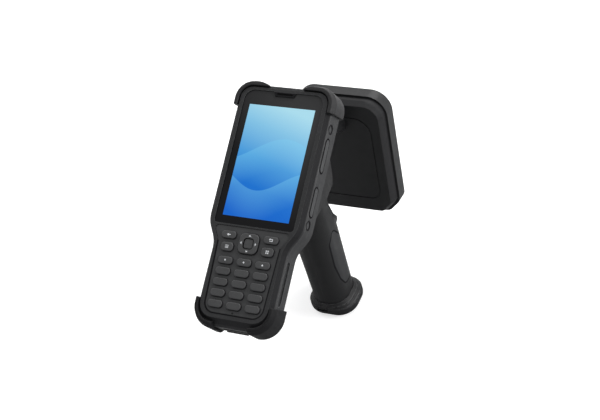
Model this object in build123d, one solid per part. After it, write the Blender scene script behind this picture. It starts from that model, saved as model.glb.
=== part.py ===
from build123d import *
import os
from math import sin, cos, tan, radians, hypot

os.makedirs("parts", exist_ok=True)

# Handheld terminal on a pistol grip, with a square antenna panel in front. Sizes in millimetres.
# Row frame: X to the user's right, Y forward, Z up, origin at the centre of the boot's flat foot.

# Place and tilt of the terminal: the centre of its display, and how far its face looks up
DISPLAY_Y = -34.1
DISPLAY_Z = 179.2
TILT = 29.7

# Terminal, in its own frame: x right, y up its length, z out of the glass, 0 at the display centre.
# The lit screen comes first, then the glass round it, the keypad plate below it and the body round all.
DISPLAY_WIDTH = 51.84
DISPLAY_LENGTH = 82.94
GLASS_SIDE = 5.08
GLASS_HEAD = 10.63
GLASS_CHIN = 5.83
PLATE_GAP = 1.6
PLATE_LENGTH = 62.4
SIDE_RIM = 6.5
HEAD_RIM = 5.4
FOOT_RIM = 8.5
GLASS_HALF = DISPLAY_WIDTH / 2 + GLASS_SIDE
GLASS_TOP = DISPLAY_LENGTH / 2 + GLASS_HEAD
GLASS_BOTTOM = -DISPLAY_LENGTH / 2 - GLASS_CHIN
PLATE_TOP = GLASS_BOTTOM - PLATE_GAP
PLATE_BOTTOM = PLATE_TOP - PLATE_LENGTH
UPPER_HALF = GLASS_HALF + SIDE_RIM
BODY_TOP = GLASS_TOP + HEAD_RIM
BODY_BOTTOM = PLATE_BOTTOM - FOOT_RIM
LOWER_HALF = 29.6
WAIST_HIGH = PLATE_TOP + 2.9
WAIST_LOW = PLATE_TOP - 11.1
WAIST_RADIUS = 20.0
TOP_CORNER = 12.0
BOTTOM_CORNER = 14.0
FRONT_Z = 0.7
SHOULDER_Z = -4.0
PARTING_Z = -10.8
SIDE_BACK_Z = -17.2
BACK_Z = -24.0
RIM_INSET = 3.2
FOOT_BEVEL = 2.2
BACK_INSET = 6.0
WALL = 2.2
FIT = 0.15
LEAST_RADIUS = 0.3
WORK_SPACE = 500.0

# Glass, display and earpiece
GLASS_THICK = 1.8
GLASS_TOP_RADIUS = 7.5
GLASS_LOW_RADIUS = 2.5
DISPLAY_THICK = 2.4
DISPLAY_BORDER = 1.5
LEDGE = 2.2
NOTCH_HALF = 9.0
NOTCH_TAPER = 1.6
NOTCH_DEPTH = 3.4
EAR_LENGTH = 12.4
EAR_WIDTH = 1.3
EAR_Y = GLASS_TOP - 1.5
EAR_DEPTH = 0.8

# Keypad plate, its keys and what lies under them
PLATE_TOP_HALF = 30.3
PLATE_NECK_HALF = 24.4
PLATE_NECK_Y = PLATE_TOP - 10.6
PLATE_LOW_HALF = 22.6
PLATE_Z = 0.3
PLATE_THICK = 1.5
PLATE_CORNER = 7.5
PLATE_WAIST_RADIUS = 10.0
PLATE_TOP_RADIUS = 2.4
PLATE_LEDGE = 1.2
PLATE_FIT = 0.3
KEY_WIDTH = 11.4
KEY_HEIGHT = 5.6
KEY_RADIUS = 2.5
KEY_TOP_Z = 1.7
KEY_EDGE = 0.8
KEY_FLANGE = 0.6
KEY_FLANGE_THICK = 0.8
KEY_GAP = 0.2
KEY_TRAVEL = 0.5
KEY_STOP = 0.15
PITCH_X = 14.59
PITCH_Y = 7.81
FUNCTION_Y = PLATE_TOP - 24.65
SOFT_UPPER = (16.5, PLATE_TOP - 6.4)
SOFT_LOWER = (15.8, PLATE_TOP - 15.0)
SOFT_LOWER_SIZE = (9.6, 6.6)
NAV_Y = PLATE_TOP - 11.0
NAV_SIZE = (15.2, 14.8)
NAV_RADIUS = 4.2
NAV_FIT = 0.35
NAV_ROCK = 3.0
OK_SIZE = 7.0
OK_FIT = 0.5
OK_RADIUS = 1.8
ACTUATOR_SIZE = 10.0
ACTUATOR_THICK = 0.6
ACTUATOR_STOP = 0.09
OK_SINK = 0.4
OK_EDGE = 0.5
MAT_THICK = 1.15
BOARD_THICK = 1.2
MIC_RADIUS = 0.5
MIC_RISE = 1.6

# Bumpers of the corners, standing out of the body
TOP_BUMPER = 2.5
LOW_BUMPER = 2.0
BUMPER_FRONT_Z = 1.9
BUMPER_ROLL = 1.8
BUMPER_BACK_Z = -22.5
BUMPER_BACK_ROLL = 3.0
BUMPER_FACE_EDGE = 2.1

# Keys, plugs and recess of the sides
SIDE_KEY_Z = -7.4
SIDE_KEY_WIDTH = 5.0
SIDE_KEY_PROUD = 0.3
SIDE_KEY_FLANGE = 0.7
SIDE_KEY_FLANGE_THICK = 0.8
SIDE_KEY_TRAVEL = 0.5
SIDE_KEY_EDGE = 0.5
SIDE_GROOVE = 0.9
SIDE_GROOVE_DEPTH = 0.6
SIDE_UPPER = (11.2, 24.0)
SIDE_LOWER = (-22.7, 20.7)
PLUG_Y = (30.9, -39.5)
PLUG_RADIUS = 2.6
PLUG_DEPTH = 1.0
PLUG_SINK = 0.5
RECESS_SPAN = (PLATE_TOP - 50.1, PLATE_TOP - 18.1)
RECESS_WIDTH = 4.4
RECESS_DEPTH = 0.8
RECESS_Z = -7.2

# Boards, battery, windows and port
BOARD_GAP = 1.4
BOARD_TOP_Z = -10.4
BOARD_SPAN = (BODY_BOTTOM + 13.8, BODY_TOP - 17.5)
BOARD_CHIPS = ((-12, 12, 16, 16, 1.4), (12, 8, 13, 11, 1.2), (4, -20, 20, 14, 1.6), (-14, -24, 9, 12, 1.0))
BATTERY_SIZE = (40.0, 56.0, 8.4)
BATTERY_CORNER = 3.0
COVER_SIZE = (45.0, 63.0)
COVER_Y = BODY_BOTTOM + 40.0
COVER_LEDGE = 1.5
COVER_CHAMFER = 0.6
COVER_DENT = (10.0, 16.0)
COVER_DENT_RISE = 9.2
COVER_DENT_IN = 9.0
COVER_THICK = 2.0
COVER_CORNER = 6.0
BATTERY_LIFT = 0.1
CAMERA_SIZE = (15.0, 10.0)
CAMERA_Y = BODY_TOP - 12.0
SCAN_SIZE = (24.0, 8.0)
SCAN_Z = -9.5
WINDOW_THICK = 1.2
ENGINE_SIZE = (20.0, 11.0, 6.6)
ENGINE_GAP = 1.4
PORT_SIZE = (9.0, 7.4, 3.0)
PORT_Z = -12.8
PORT_IN = 1.3
PORT_SHELL = 0.6
FLAP_HALF = 9.5
FLAP_SPAN = (-15.4, -9.4)
FLAP_THICK = 1.2
FLAP_SINK = 0.9
FLAP_BARREL = 0.95
FLAP_PIN = 0.45
FLAP_EAR = 1.4
FLAP_FOOT = 1.3
FLAP_AXIS_OUT = 0.15
RUNNING = 0.05
SIDE_FIT = 0.1

# Screws: one kind of pan head screw for the housing and the grip
SCREW_HEAD_RADIUS = 2.2
SCREW_HEAD = 1.4
SCREW_RADIUS = 1.2
SCREW_LENGTH = 6.0
SCREW_SINK = 0.2
BOSS_RADIUS = 3.2
HOUSING_SCREWS = ((26.0, BODY_TOP - 16.5), (24.0, -37.5))

# Cradle behind the terminal
CRADLE_HALF = 30.0
CRADLE_EDGE = 3.0

# Grip, strap and boot
GRIP_HALF = 15.5
GRIP_DEPTH = 16.5
GRIP_FOOT_HALF = 14.3
GRIP_FOOT_DEPTH = 16.1
GRIP_CORNER = 13.0
HAND_Y = -2.9
GRIP_WALL = 2.4
GRIP_FOOT_Z = 3.2
NECK_Z = 150.0
HEAD_TOP = 140.5
HEAD_SLOPE = 0.54
STRAP_THICK = 1.6
SCOOP_TURN = 34.0
SCOOP_DISTANCE = 12.8
SCOOP_RADIUS = 60.0
SCOOP_Z = 105.0
BOOT_HALF = 20.0
BOOT_DEPTH = 18.8
BOOT_CORNER = 15.0
BOOT_WIDE_Z = 8.0
BOOT_TOP_Z = 14.6
BOOT_EDGE = 4.5
COLLAR_WALL = 0.9
COLLAR_Y = -1.8
COLLAR_GROOVE = 0.5
COLLAR_GROOVE_WIDTH = 0.7
COLLAR_GROOVES_Z = (8.4, 11.2)
STRAP_SLOT = (9.6, 6.0, 2.6)
STRAP_SLOT_PLACE = (-4.6, 6.4)

# Trigger, pin, spring and switch
PIVOT_Y = 3.0
PIVOT_Z = 113.0
PIN_RADIUS = 1.5
TRIGGER_HALF = 7.0
WELL_FIT = 0.4
WELL_FLOOR = 66.4
PIN_LENGTH = 25.0
SPRING_RADIUS = 2.5
SPRING_WIRE = 0.35
SPRING_PITCH = 0.85
SPRING_TURNS = 3
SPRING_POCKET = 3.4
POCKET_DEEP = 3.6
GRIP_SCREW_X = 14.9
GRIP_SCREW_Y = -10.5
GRIP_SCREW_Z = (96.0, 124.0)
SWITCH_SIZE = (12.8, 5.8, 7.0)
SWITCH_Z = 90.0
GUN_CELL = (20.0, 24.0, 54.0)

# Antenna panel: place of the middle of its rear face, lean, and shells
PANEL_Y = 62.9
PANEL_Z = 95.7
LEAN = 8.3
PANEL_HALF = 39.0
PANEL_TALL = 53.2
PANEL_CORNER = 16.0
PANEL_CUT = (10.0, 11.0)
PANEL_CUT_RADIUS = 8.0
PANEL_THICK = 22.0
SPLIT_DEPTH = 9.0
STEP = 1.8
FOOT_STEP = 1.6
REAR_FLAT_INSET = 2.2
REAR_BEVEL = 5.0
FRONT_ROLL = 3.0
FRONT_ROLL_DEPTH = 2.5
PANEL_WALL = 2.0
SHELL_LAP = 2.4
FACE_LINE_HALF = 27.5
FACE_LINE_SPAN = (-35.8, 38.1)
FACE_LINE_RADII = (9.0, 14.0)
FACE_LINE_WIDTH = 0.9
FACE_LINE_DEPTH = 0.7
READER_SIZE = (56.0, 78.0)
READER_THICK = 1.6
PATCH_SIZE = 62.0
PATCH_THICK = 1.0
PATCH_STAND = 6.5
ARM_HALF = 7.0
ARM_EDGE = 1.5

terminal = Plane(origin=(0, DISPLAY_Y, DISPLAY_Z), x_dir=(1, 0, 0),
                 z_dir=(0, -sin(radians(TILT)), cos(radians(TILT)))).location
panel = Plane(origin=(0, PANEL_Y, PANEL_Z), x_dir=(1, 0, 0),
              z_dir=(0, -cos(radians(LEAN)), sin(radians(LEAN)))).location


def save(name, *solids):
    """Write one node from one solid or from a group of separate solids."""
    shape = solids[0] if len(solids) == 1 else Compound(children=list(solids))
    shape.label = name
    export_step(shape, f"parts/{name}.step")


def outline(points, radii):
    """Closed face through corner points in turn, each corner rounded by its own radius."""
    return Face(FilletPolyline(*points, radius=radii, close=True))


def mirrored(right, radii):
    """Face that is the same left and right, from the corner points of its right half, bottom up."""
    left = [(-x, y) for x, y in reversed(right)]
    return outline(right + left, list(radii) + list(reversed(radii)))


def tablet(width, height, radius):
    """Rounded rectangle about the middle."""
    return mirrored([(width / 2, -height / 2), (width / 2, height / 2)], [radius, radius])


def prism(face, low, high):
    return extrude(Pos(0, 0, low) * face, amount=high - low, dir=(0, 0, 1))


def taper(low_face, low, high_face, high):
    return loft([Pos(0, 0, low) * low_face, Pos(0, 0, high) * high_face], ruled=True)


def side_profile(points, radii, half):
    """Solid of one side outline, drawn in Y and Z, spread the same to both sides."""
    face = Plane.YZ * outline(points, radii)
    return extrude(face, amount=half, dir=(1, 0, 0), both=True)


# Filled outer form of the terminal, which the housings, bumpers and cradle share
def body_face(inset=0.0, foot=0.0):
    upper, lower = UPPER_HALF - inset, LOWER_HALF - inset
    right = [(lower, BODY_BOTTOM + inset + foot), (lower, WAIST_LOW), (upper, WAIST_HIGH),
             (upper, BODY_TOP - inset)]
    return mirrored(right, [BOTTOM_CORNER - inset, WAIST_RADIUS + inset, WAIST_RADIUS - inset,
                            TOP_CORNER - inset])


front_form = (prism(body_face(), PARTING_Z, SHOULDER_Z)
              + taper(body_face(), SHOULDER_Z, body_face(RIM_INSET, FOOT_BEVEL), FRONT_Z))
rear_form = (prism(body_face(), SIDE_BACK_Z, PARTING_Z)
             + taper(body_face(BACK_INSET), BACK_Z, body_face(), SIDE_BACK_Z))


# Touch glass with a notch for the earpiece, and the display bonded behind it
def glass_face(grow=0.0):
    half, top, low = GLASS_HALF + grow, GLASS_TOP + grow, GLASS_BOTTOM - grow
    notch, foot, depth = NOTCH_HALF - grow, NOTCH_HALF - NOTCH_TAPER - grow, top - NOTCH_DEPTH
    right = [(half, low), (half, top), (notch, top), (foot, depth)]
    return mirrored(right, [GLASS_LOW_RADIUS, GLASS_TOP_RADIUS, 0, 0])


glass = prism(glass_face(), -GLASS_THICK, 0)
display_z = -GLASS_THICK - DISPLAY_THICK
display = prism(tablet(DISPLAY_WIDTH + 2 * DISPLAY_BORDER, DISPLAY_LENGTH + 2 * DISPLAY_BORDER, 1.0),
                display_z, -GLASS_THICK)


# Keypad plate outline: wide under the glass, narrow down the keys
def plate_face(grow=0.0):
    right = [(PLATE_LOW_HALF + grow, PLATE_BOTTOM - grow), (PLATE_NECK_HALF + grow, PLATE_NECK_Y),
             (PLATE_TOP_HALF + grow, PLATE_TOP + grow)]
    top_radius = max(LEAST_RADIUS, PLATE_TOP_RADIUS + grow)
    return mirrored(right, [PLATE_CORNER + grow, PLATE_WAIST_RADIUS - grow, top_radius])


plate_low_z = PLATE_Z - PLATE_THICK
ledge_z = plate_low_z - FIT
cavity_z = ledge_z - LEDGE + 0.25


# Places of the keys: name, middle, width, height, corner radius
def key_places():
    upper_x, upper_y = SOFT_UPPER
    lower_x, lower_y = SOFT_LOWER
    lower_width, lower_height = SOFT_LOWER_SIZE
    keys = [("soft_key_1", -upper_x, upper_y, KEY_WIDTH, KEY_HEIGHT),
            ("soft_key_2", upper_x, upper_y, KEY_WIDTH, KEY_HEIGHT),
            ("soft_key_3", -lower_x, lower_y, lower_width, lower_height),
            ("soft_key_4", lower_x, lower_y, lower_width, lower_height)]
    for column in range(3):
        keys.append((f"function_key_{column + 1}", (column - 1) * PITCH_X, FUNCTION_Y, KEY_WIDTH, KEY_HEIGHT))
    for row in range(4):
        for column in range(3):
            keys.append((f"number_key_{3 * row + column + 1}", (column - 1) * PITCH_X,
                         FUNCTION_Y - (row + 1) * PITCH_Y, KEY_WIDTH, KEY_HEIGHT))
    return keys


def key_solid(width, height, radius):
    """Key cap with a rounded top edge, on the flange that holds it behind the plate."""
    flange_top = plate_low_z - KEY_GAP
    cap = prism(tablet(width, height, radius), flange_top, KEY_TOP_Z)
    cap = fillet(cap.faces().sort_by(Axis.Z)[-1].edges(), KEY_EDGE)
    flange = prism(tablet(width + 2 * KEY_FLANGE, height + 2 * KEY_FLANGE, radius),
                   flange_top - KEY_FLANGE_THICK, flange_top)
    return cap + flange


nav_width, nav_height = NAV_SIZE
nav_face = Pos(0, NAV_Y) * tablet(nav_width, nav_height, NAV_RADIUS)
nav_hole = Pos(0, NAV_Y) * tablet(nav_width + 2 * NAV_FIT, nav_height + 2 * NAV_FIT, NAV_RADIUS + NAV_FIT)
plate = prism(plate_face(), plate_low_z, PLATE_Z)
holes = [prism(nav_hole, plate_low_z - 1, PLATE_Z + 1)]
for name, x, y, width, height in key_places():
    holes.append(prism(Pos(x, y) * tablet(width + 2 * FIT, height + 2 * FIT, KEY_RADIUS + FIT),
                       plate_low_z - 1, PLATE_Z + 1))
    save(name, terminal * (Pos(x, y, 0) * key_solid(width, height, KEY_RADIUS)))
holes.append(Pos(0, PLATE_BOTTOM + MIC_RISE, 0) * Cylinder(MIC_RADIUS, 2 * PLATE_THICK + 2))
for hole in holes:
    plate = plate - hole
save("keypad_plate", terminal * plate)

# Navigation ring that rocks on its actuator, with the OK key in the middle
key_low_z = plate_low_z - KEY_GAP - KEY_FLANGE_THICK
ring_low_z = plate_low_z - KEY_GAP
ok_opening = OK_SIZE + 2 * OK_FIT
ring = prism(nav_face, ring_low_z, KEY_TOP_Z)
ring = fillet(ring.faces().sort_by(Axis.Z)[-1].edges(), KEY_EDGE)
ok_hole = Pos(0, NAV_Y) * tablet(ok_opening, ok_opening, OK_RADIUS + OK_FIT)
ring = ring - prism(ok_hole, ring_low_z - 1, KEY_TOP_Z + 1)
actuator_top = ring_low_z - ACTUATOR_SIZE / 2 * tan(radians(NAV_ROCK)) - ACTUATOR_STOP
actuator = prism(Pos(0, NAV_Y) * tablet(ACTUATOR_SIZE, ACTUATOR_SIZE, NAV_RADIUS - 1),
                 actuator_top - ACTUATOR_THICK, actuator_top)
actuator = actuator - prism(ok_hole, actuator_top - 2, actuator_top + 1)
ok_cap = prism(Pos(0, NAV_Y) * tablet(OK_SIZE, OK_SIZE, OK_RADIUS), key_low_z, KEY_TOP_Z - OK_SINK)
ok_cap = fillet(ok_cap.faces().sort_by(Axis.Z)[-1].edges(), OK_EDGE)
save("nav_ring", terminal * ring)
save("nav_actuator", terminal * actuator)
save("ok_key", terminal * ok_cap)

# Rubber mat and board under the keys
mat_top = key_low_z - KEY_TRAVEL - KEY_STOP
mat_low = mat_top - MAT_THICK
save("keypad_mat", terminal * prism(plate_face(-PLATE_LEDGE - 0.3), mat_low, mat_top))
keypad_board = prism(plate_face(-0.5), mat_low - BOARD_THICK, mat_low)
save("keypad_board", terminal * keypad_board)


# Side keys: a long cap through the wall, with its flange inside
def side_slot(y, length, width, low, high, side):
    """Stadium along the terminal's length, from x low to high on one side."""
    face = tablet(length, width, width / 2 - 0.01)
    solid = Pos(0, y, SIDE_KEY_Z) * (Plane.YZ * extrude(face, amount=high - low))
    return Pos(low, 0, 0) * solid if side > 0 else Pos(-high, 0, 0) * solid


inner_wall = UPPER_HALF - WALL
side_keys = [("side_key_upper", *SIDE_UPPER, 1),
             ("side_key_lower", *SIDE_LOWER, 1),
             ("side_key_left", *SIDE_UPPER, -1)]
side_cuts = []
for name, y, length, side in side_keys:
    cap = side_slot(y, length, SIDE_KEY_WIDTH, inner_wall - SIDE_FIT, UPPER_HALF + SIDE_KEY_PROUD, side)
    outer_face = cap.faces().sort_by(Axis.X)[-1 if side > 0 else 0]
    cap = fillet(outer_face.edges(), SIDE_KEY_EDGE)
    flange = side_slot(y, length + 2 * SIDE_KEY_FLANGE, SIDE_KEY_WIDTH + 2 * SIDE_KEY_FLANGE,
                       inner_wall - SIDE_FIT - SIDE_KEY_FLANGE_THICK, inner_wall - SIDE_FIT, side)
    save(name, terminal * (cap + flange))
    side_cuts.append(side_slot(y, length + 2 * FIT, SIDE_KEY_WIDTH + 2 * FIT,
                               inner_wall - 1, UPPER_HALF + 2, side))
    side_cuts.append(side_slot(y, length + 2 * SIDE_GROOVE, SIDE_KEY_WIDTH + 2 * SIDE_GROOVE,
                               UPPER_HALF - SIDE_GROOVE_DEPTH, UPPER_HALF + 2, side))

# Round plugs that cover the side screws
plugs = []
for y in PLUG_Y:
    for side in (-1, 1):
        seat = Pos(side * (UPPER_HALF - PLUG_SINK - PLUG_DEPTH / 2), y, SIDE_KEY_Z) * Rot(0, 90, 0)
        side_cuts.append(seat * Cylinder(PLUG_RADIUS, PLUG_DEPTH + 2 * PLUG_SINK))
        plugs.append(terminal * (seat * Cylinder(PLUG_RADIUS - RUNNING, PLUG_DEPTH)))
save("side_plugs", *plugs)

# Front housing: bevelled shell with pockets for the glass and the keypad plate
front = front_form - prism(body_face(WALL), PARTING_Z - 1, cavity_z)
front = front - prism(glass_face(FIT), -GLASS_THICK - RUNNING, FRONT_Z + 1)
glass_middle = (GLASS_TOP - NOTCH_DEPTH + GLASS_BOTTOM) / 2
glass_open = GLASS_TOP - NOTCH_DEPTH - GLASS_BOTTOM - 2 * LEDGE
front = front - prism(Pos(0, glass_middle) * tablet(2 * (GLASS_HALF - LEDGE), glass_open, 1.5), -9, 0)
front = front - prism(plate_face(PLATE_FIT), ledge_z, FRONT_Z + 1)
front = front - prism(plate_face(-PLATE_LEDGE), cavity_z - 1, FRONT_Z)
for cut in side_cuts:
    front = front - cut
recess_length = RECESS_SPAN[1] - RECESS_SPAN[0]
recess_face = tablet(recess_length, RECESS_WIDTH, RECESS_WIDTH / 2 - 0.01)
recess_place = Pos(0, sum(RECESS_SPAN) / 2, RECESS_Z)
for side in (-1, 1):
    start = LOWER_HALF - RECESS_DEPTH if side > 0 else -LOWER_HALF - 1
    recess = Plane.YZ * extrude(recess_face, amount=RECESS_DEPTH + 1)
    front = front - Pos(start, 0, 0) * (recess_place * recess)
ear_slot = Pos(0, EAR_Y) * tablet(EAR_LENGTH, EAR_WIDTH, EAR_WIDTH / 2 - 0.01)
front = front - prism(ear_slot, FRONT_Z - EAR_DEPTH, FRONT_Z + 1)
mesh_plate = prism(Pos(0, EAR_Y) * tablet(EAR_LENGTH - 0.1, EAR_WIDTH - 0.1, EAR_WIDTH / 2 - 0.06),
                   FRONT_Z - EAR_DEPTH, FRONT_Z - 0.4)
save("earpiece_mesh", terminal * mesh_plate)
save("touch_glass", terminal * glass)
save("display_panel", terminal * display)

# Rear housing: bevelled shell with bosses, battery bay, windows and the port
inner_back = BACK_Z + WALL
hollow = (prism(body_face(WALL), SIDE_BACK_Z + 0.8, PARTING_Z + 1)
          + taper(body_face(BACK_INSET + 1.4), inner_back, body_face(WALL), SIDE_BACK_Z + 0.8))
rear = rear_form - hollow
board_low_z = BOARD_TOP_Z - BOARD_THICK
screw_places = [(side * x, y) for x, y in HOUSING_SCREWS for side in (-1, 1)]
for x, y in screw_places:
    rear = rear + Pos(x, y, (BACK_Z + board_low_z) / 2) * Cylinder(BOSS_RADIUS, board_low_z - BACK_Z)
cover_width, cover_length = COVER_SIZE
rear = rear - prism(Pos(0, COVER_Y) * tablet(cover_width + 2 * FIT, cover_length + 2 * FIT, COVER_CORNER),
                    BACK_Z - 1, BACK_Z + COVER_THICK)
bay_width, bay_length = cover_width - 2 * COVER_LEDGE, cover_length - 2 * COVER_LEDGE
rear = rear - prism(Pos(0, COVER_Y) * tablet(bay_width, bay_length, COVER_CORNER - COVER_LEDGE),
                    BACK_Z, inner_back + 1)
cover = prism(Pos(0, COVER_Y) * tablet(cover_width, cover_length, COVER_CORNER), BACK_Z, BACK_Z + COVER_THICK)
cover = chamfer(cover.faces().sort_by(Axis.Z)[0].edges(), COVER_CHAMFER)
dent_radius, dent_width = COVER_DENT
dent_y = COVER_Y + cover_length / 2 - COVER_DENT_IN
cover = cover - Pos(0, dent_y, BACK_Z - COVER_DENT_RISE) * Rot(0, 90, 0) * Cylinder(dent_radius, dent_width)
save("battery_cover", terminal * cover)
battery_low = BACK_Z + COVER_THICK + BATTERY_LIFT
battery_width, battery_length, battery_thick = BATTERY_SIZE
battery = prism(Pos(0, COVER_Y) * tablet(battery_width, battery_length, BATTERY_CORNER),
                battery_low, battery_low + battery_thick)
save("terminal_battery", terminal * battery)

# Camera window in the back, above the cradle
camera_width, camera_height = CAMERA_SIZE
camera_face = Pos(0, CAMERA_Y) * tablet(camera_width, camera_height, 3.0)
rear = rear - prism(camera_face, BACK_Z - 1, BACK_Z + WINDOW_THICK)
rear = rear - Pos(0, CAMERA_Y, BACK_Z + WALL / 2) * Cylinder(3.0, WALL + 2)
camera_pane = Pos(0, CAMERA_Y) * tablet(camera_width - 2 * SIDE_FIT, camera_height - 2 * SIDE_FIT, 2.9)
save("camera_window", terminal * prism(camera_pane, BACK_Z + SIDE_FIT, BACK_Z + WINDOW_THICK))

# Scan window across the joint of the top wall, and the engine on its bracket behind it
scan_width, scan_height = SCAN_SIZE
top_wall = Plane(origin=(0, BODY_TOP, SCAN_Z), x_dir=(-1, 0, 0), z_dir=(0, 1, 0)).location
for cut in (prism(tablet(scan_width, scan_height, 2.0), -WINDOW_THICK, 1),
            prism(tablet(scan_width - 3, scan_height - 2.4, 1.0), -WALL - 1, 1)):
    rear = rear - top_wall * cut
    front = front - top_wall * cut
scan_pane = prism(tablet(scan_width - 2 * SIDE_FIT, scan_height - 2 * SIDE_FIT, 1.9), -WINDOW_THICK, -0.2)
save("scan_window", terminal * (top_wall * scan_pane))
engine_width, engine_length, engine_height = ENGINE_SIZE
engine_y = BODY_TOP - WALL - ENGINE_GAP - engine_length / 2
engine = Pos(0, engine_y, SCAN_Z) * Box(engine_width, engine_length, engine_height)
bracket_top = SCAN_Z - engine_height / 2
bracket_low = inner_back + SIDE_FIT
engine = engine + Pos(0, engine_y - 1.5, (bracket_top + bracket_low) / 2) * Box(
    engine_width - 6, engine_length - 5, bracket_top - bracket_low)
save("scan_engine", terminal * engine)

# Charging port and its hinged flap in the bottom wall
port_width, port_length, port_height = PORT_SIZE
bottom_wall = Plane(origin=(0, BODY_BOTTOM, PORT_Z), x_dir=(1, 0, 0), z_dir=(0, -1, 0)).location
rear = rear - bottom_wall * prism(tablet(port_width + 0.4, port_height + 0.4, 0.3), -WALL - 1, 1)
port = Pos(0, BODY_BOTTOM + PORT_IN + port_length / 2, PORT_Z) * Box(port_width, port_length, port_height)
port = port - Pos(0, BODY_BOTTOM + PORT_IN, PORT_Z) * Box(
    port_width - 2 * PORT_SHELL, 2 * (port_length - 2 * PORT_SHELL), port_height - 2 * PORT_SHELL)
save("usb_port", terminal * port)
flap_low, flap_high = FLAP_SPAN
flap_inner = BODY_BOTTOM + FLAP_SINK - SIDE_FIT
flap_recess = Pos(0, BODY_BOTTOM + FLAP_SINK - 2, (flap_low + flap_high) / 2 - 0.5) * Box(
    2 * (FLAP_HALF + SIDE_FIT), 4, flap_high - flap_low + 1.0 + 2 * SIDE_FIT + 1.0)
rear = rear - flap_recess
front = front - flap_recess
flap = Pos(0, flap_inner - FLAP_THICK / 2, (flap_low + flap_high) / 2) * Box(
    2 * FLAP_HALF, FLAP_THICK, flap_high - flap_low)
flap = fillet(flap.edges().filter_by(Axis.Y), 1.2)
flap_axis_point = Pos(0, BODY_BOTTOM - FLAP_AXIS_OUT, flap_low)
flap_axis = flap_axis_point * Rot(0, 90, 0)
ear_inner = FLAP_HALF - FLAP_EAR - 1.2
ear_gap = flap_axis * Cylinder(FLAP_BARREL + 0.3, 2 * FLAP_HALF + 2)
barrel = flap_axis * Cylinder(FLAP_BARREL, 2 * (ear_inner - SIDE_FIT))
barrel_web = Pos(0, flap_inner - FLAP_THICK / 2, flap_low + FLAP_BARREL / 2 + 0.3) * Box(
    2 * (ear_inner - SIDE_FIT), FLAP_THICK, FLAP_BARREL + 0.6)
flap = (flap - ear_gap) + barrel + barrel_web + flap_axis * Cylinder(FLAP_PIN, 2 * (ear_inner + FLAP_EAR))
save("usb_flap", terminal * flap)
for side in (-1, 1):
    ear_place = Pos(side * (ear_inner + FLAP_EAR / 2), 0, 0)
    foot = ear_place * flap_axis_point * Pos(0, FLAP_SINK, 0) * Box(FLAP_EAR, 2 * FLAP_SINK, FLAP_FOOT)
    ear = ear_place * flap_axis * Cylinder(FLAP_BARREL, FLAP_EAR)
    rear = rear + ((ear + foot) - ear_place * flap_axis * Cylinder(FLAP_PIN + RUNNING, FLAP_EAR + 1))

# Main board on the bosses, with its larger parts
board_inset = WALL + SIDE_FIT + SIDE_KEY_FLANGE_THICK + SIDE_KEY_TRAVEL + BOARD_GAP
board = prism(body_face(board_inset), board_low_z, BOARD_TOP_Z)
board_middle = sum(BOARD_SPAN) / 2
board = board & Pos(0, board_middle, BOARD_TOP_Z) * Box(90, BOARD_SPAN[1] - BOARD_SPAN[0], 10)
for x, y, width, length, height in BOARD_CHIPS:
    board = board + Pos(x, y, BOARD_TOP_Z + height / 2) * Box(width, length, height)
save("main_board", terminal * board)

# Housing screws from the back
screws = []


def screw(place):
    """Pan head screw, head at the place's origin and shank along its +Z; returns screw and hole."""
    head = Pos(0, 0, SCREW_SINK + SCREW_HEAD / 2) * Cylinder(SCREW_HEAD_RADIUS, SCREW_HEAD)
    cross = Pos(0, 0, SCREW_SINK) * (Box(2.6, 0.5, 1.4) + Box(0.5, 2.6, 1.4))
    shank = Pos(0, 0, SCREW_SINK + SCREW_HEAD + SCREW_LENGTH / 2) * Cylinder(SCREW_RADIUS, SCREW_LENGTH)
    hole_head = Pos(0, 0, (SCREW_SINK + SCREW_HEAD - 2) / 2) * Cylinder(
        SCREW_HEAD_RADIUS + SIDE_FIT, SCREW_SINK + SCREW_HEAD + 2)
    hole_shank = Pos(0, 0, SCREW_SINK + SCREW_HEAD + SCREW_LENGTH / 2) * Cylinder(
        SCREW_RADIUS + RUNNING, SCREW_LENGTH + 0.4)
    return place * ((head - cross) + shank), place * (hole_head + hole_shank)


for x, y in screw_places:
    body, hole = screw(Pos(x, y, BACK_Z))
    rear = rear - hole
    screws.append(terminal * body)
save("front_housing", terminal * front)
save("rear_housing", terminal * rear)


# Rubber bumpers: the body's form grown outwards, kept at the corners only
def bumper_form(proud):
    form = (prism(body_face(-proud), SIDE_BACK_Z - 1.0, SHOULDER_Z + 1.4)
            + taper(body_face(-proud), SHOULDER_Z + 1.4, body_face(BUMPER_ROLL - proud), BUMPER_FRONT_Z)
            + taper(body_face(BUMPER_BACK_ROLL - proud), BUMPER_BACK_Z, body_face(-proud), SIDE_BACK_Z - 1.0))
    return form - front_form - rear_form - prism(body_face(BUMPER_FACE_EDGE), -1, BUMPER_FRONT_Z + 1)


# Front view of the corner that each bumper keeps, its heights counted from the body's top or bottom,
# and the slanted line across the side wall where it ends
top_zone = [(13.5, -10), (30, -22), (60, -22), (60, 12), (44, 12), (24.6, 2.6), (13.5, -0.9)]
low_zone = [(14, 12), (14, -1.4), (17.5, -4.4), (26, -10), (60, -10), (60, 24), (30, 24)]
top_end = [(-12.5, -40), (-17.8, 5), (30, 5), (30, -40)]
low_end = [(23.5, -40), (17.5, 5), (-30, 5), (-30, -40)]
for name, edge, zone, end, proud in (("top_bumpers", BODY_TOP, top_zone, top_end, TOP_BUMPER),
                                     ("bottom_bumpers", BODY_BOTTOM, low_zone, low_end, LOW_BUMPER)):
    pair = []
    kept = side_profile([(y + edge, z) for y, z in end], [0, 0, 0, 0], 60)
    for side in (-1, 1):
        face = Face(Wire(Polyline(*[(side * x, y + edge) for x, y in zone], close=True)))
        pair.append(terminal * (bumper_form(proud) & prism(face, -40, 10) & kept))
    save(name, *pair)

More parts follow.
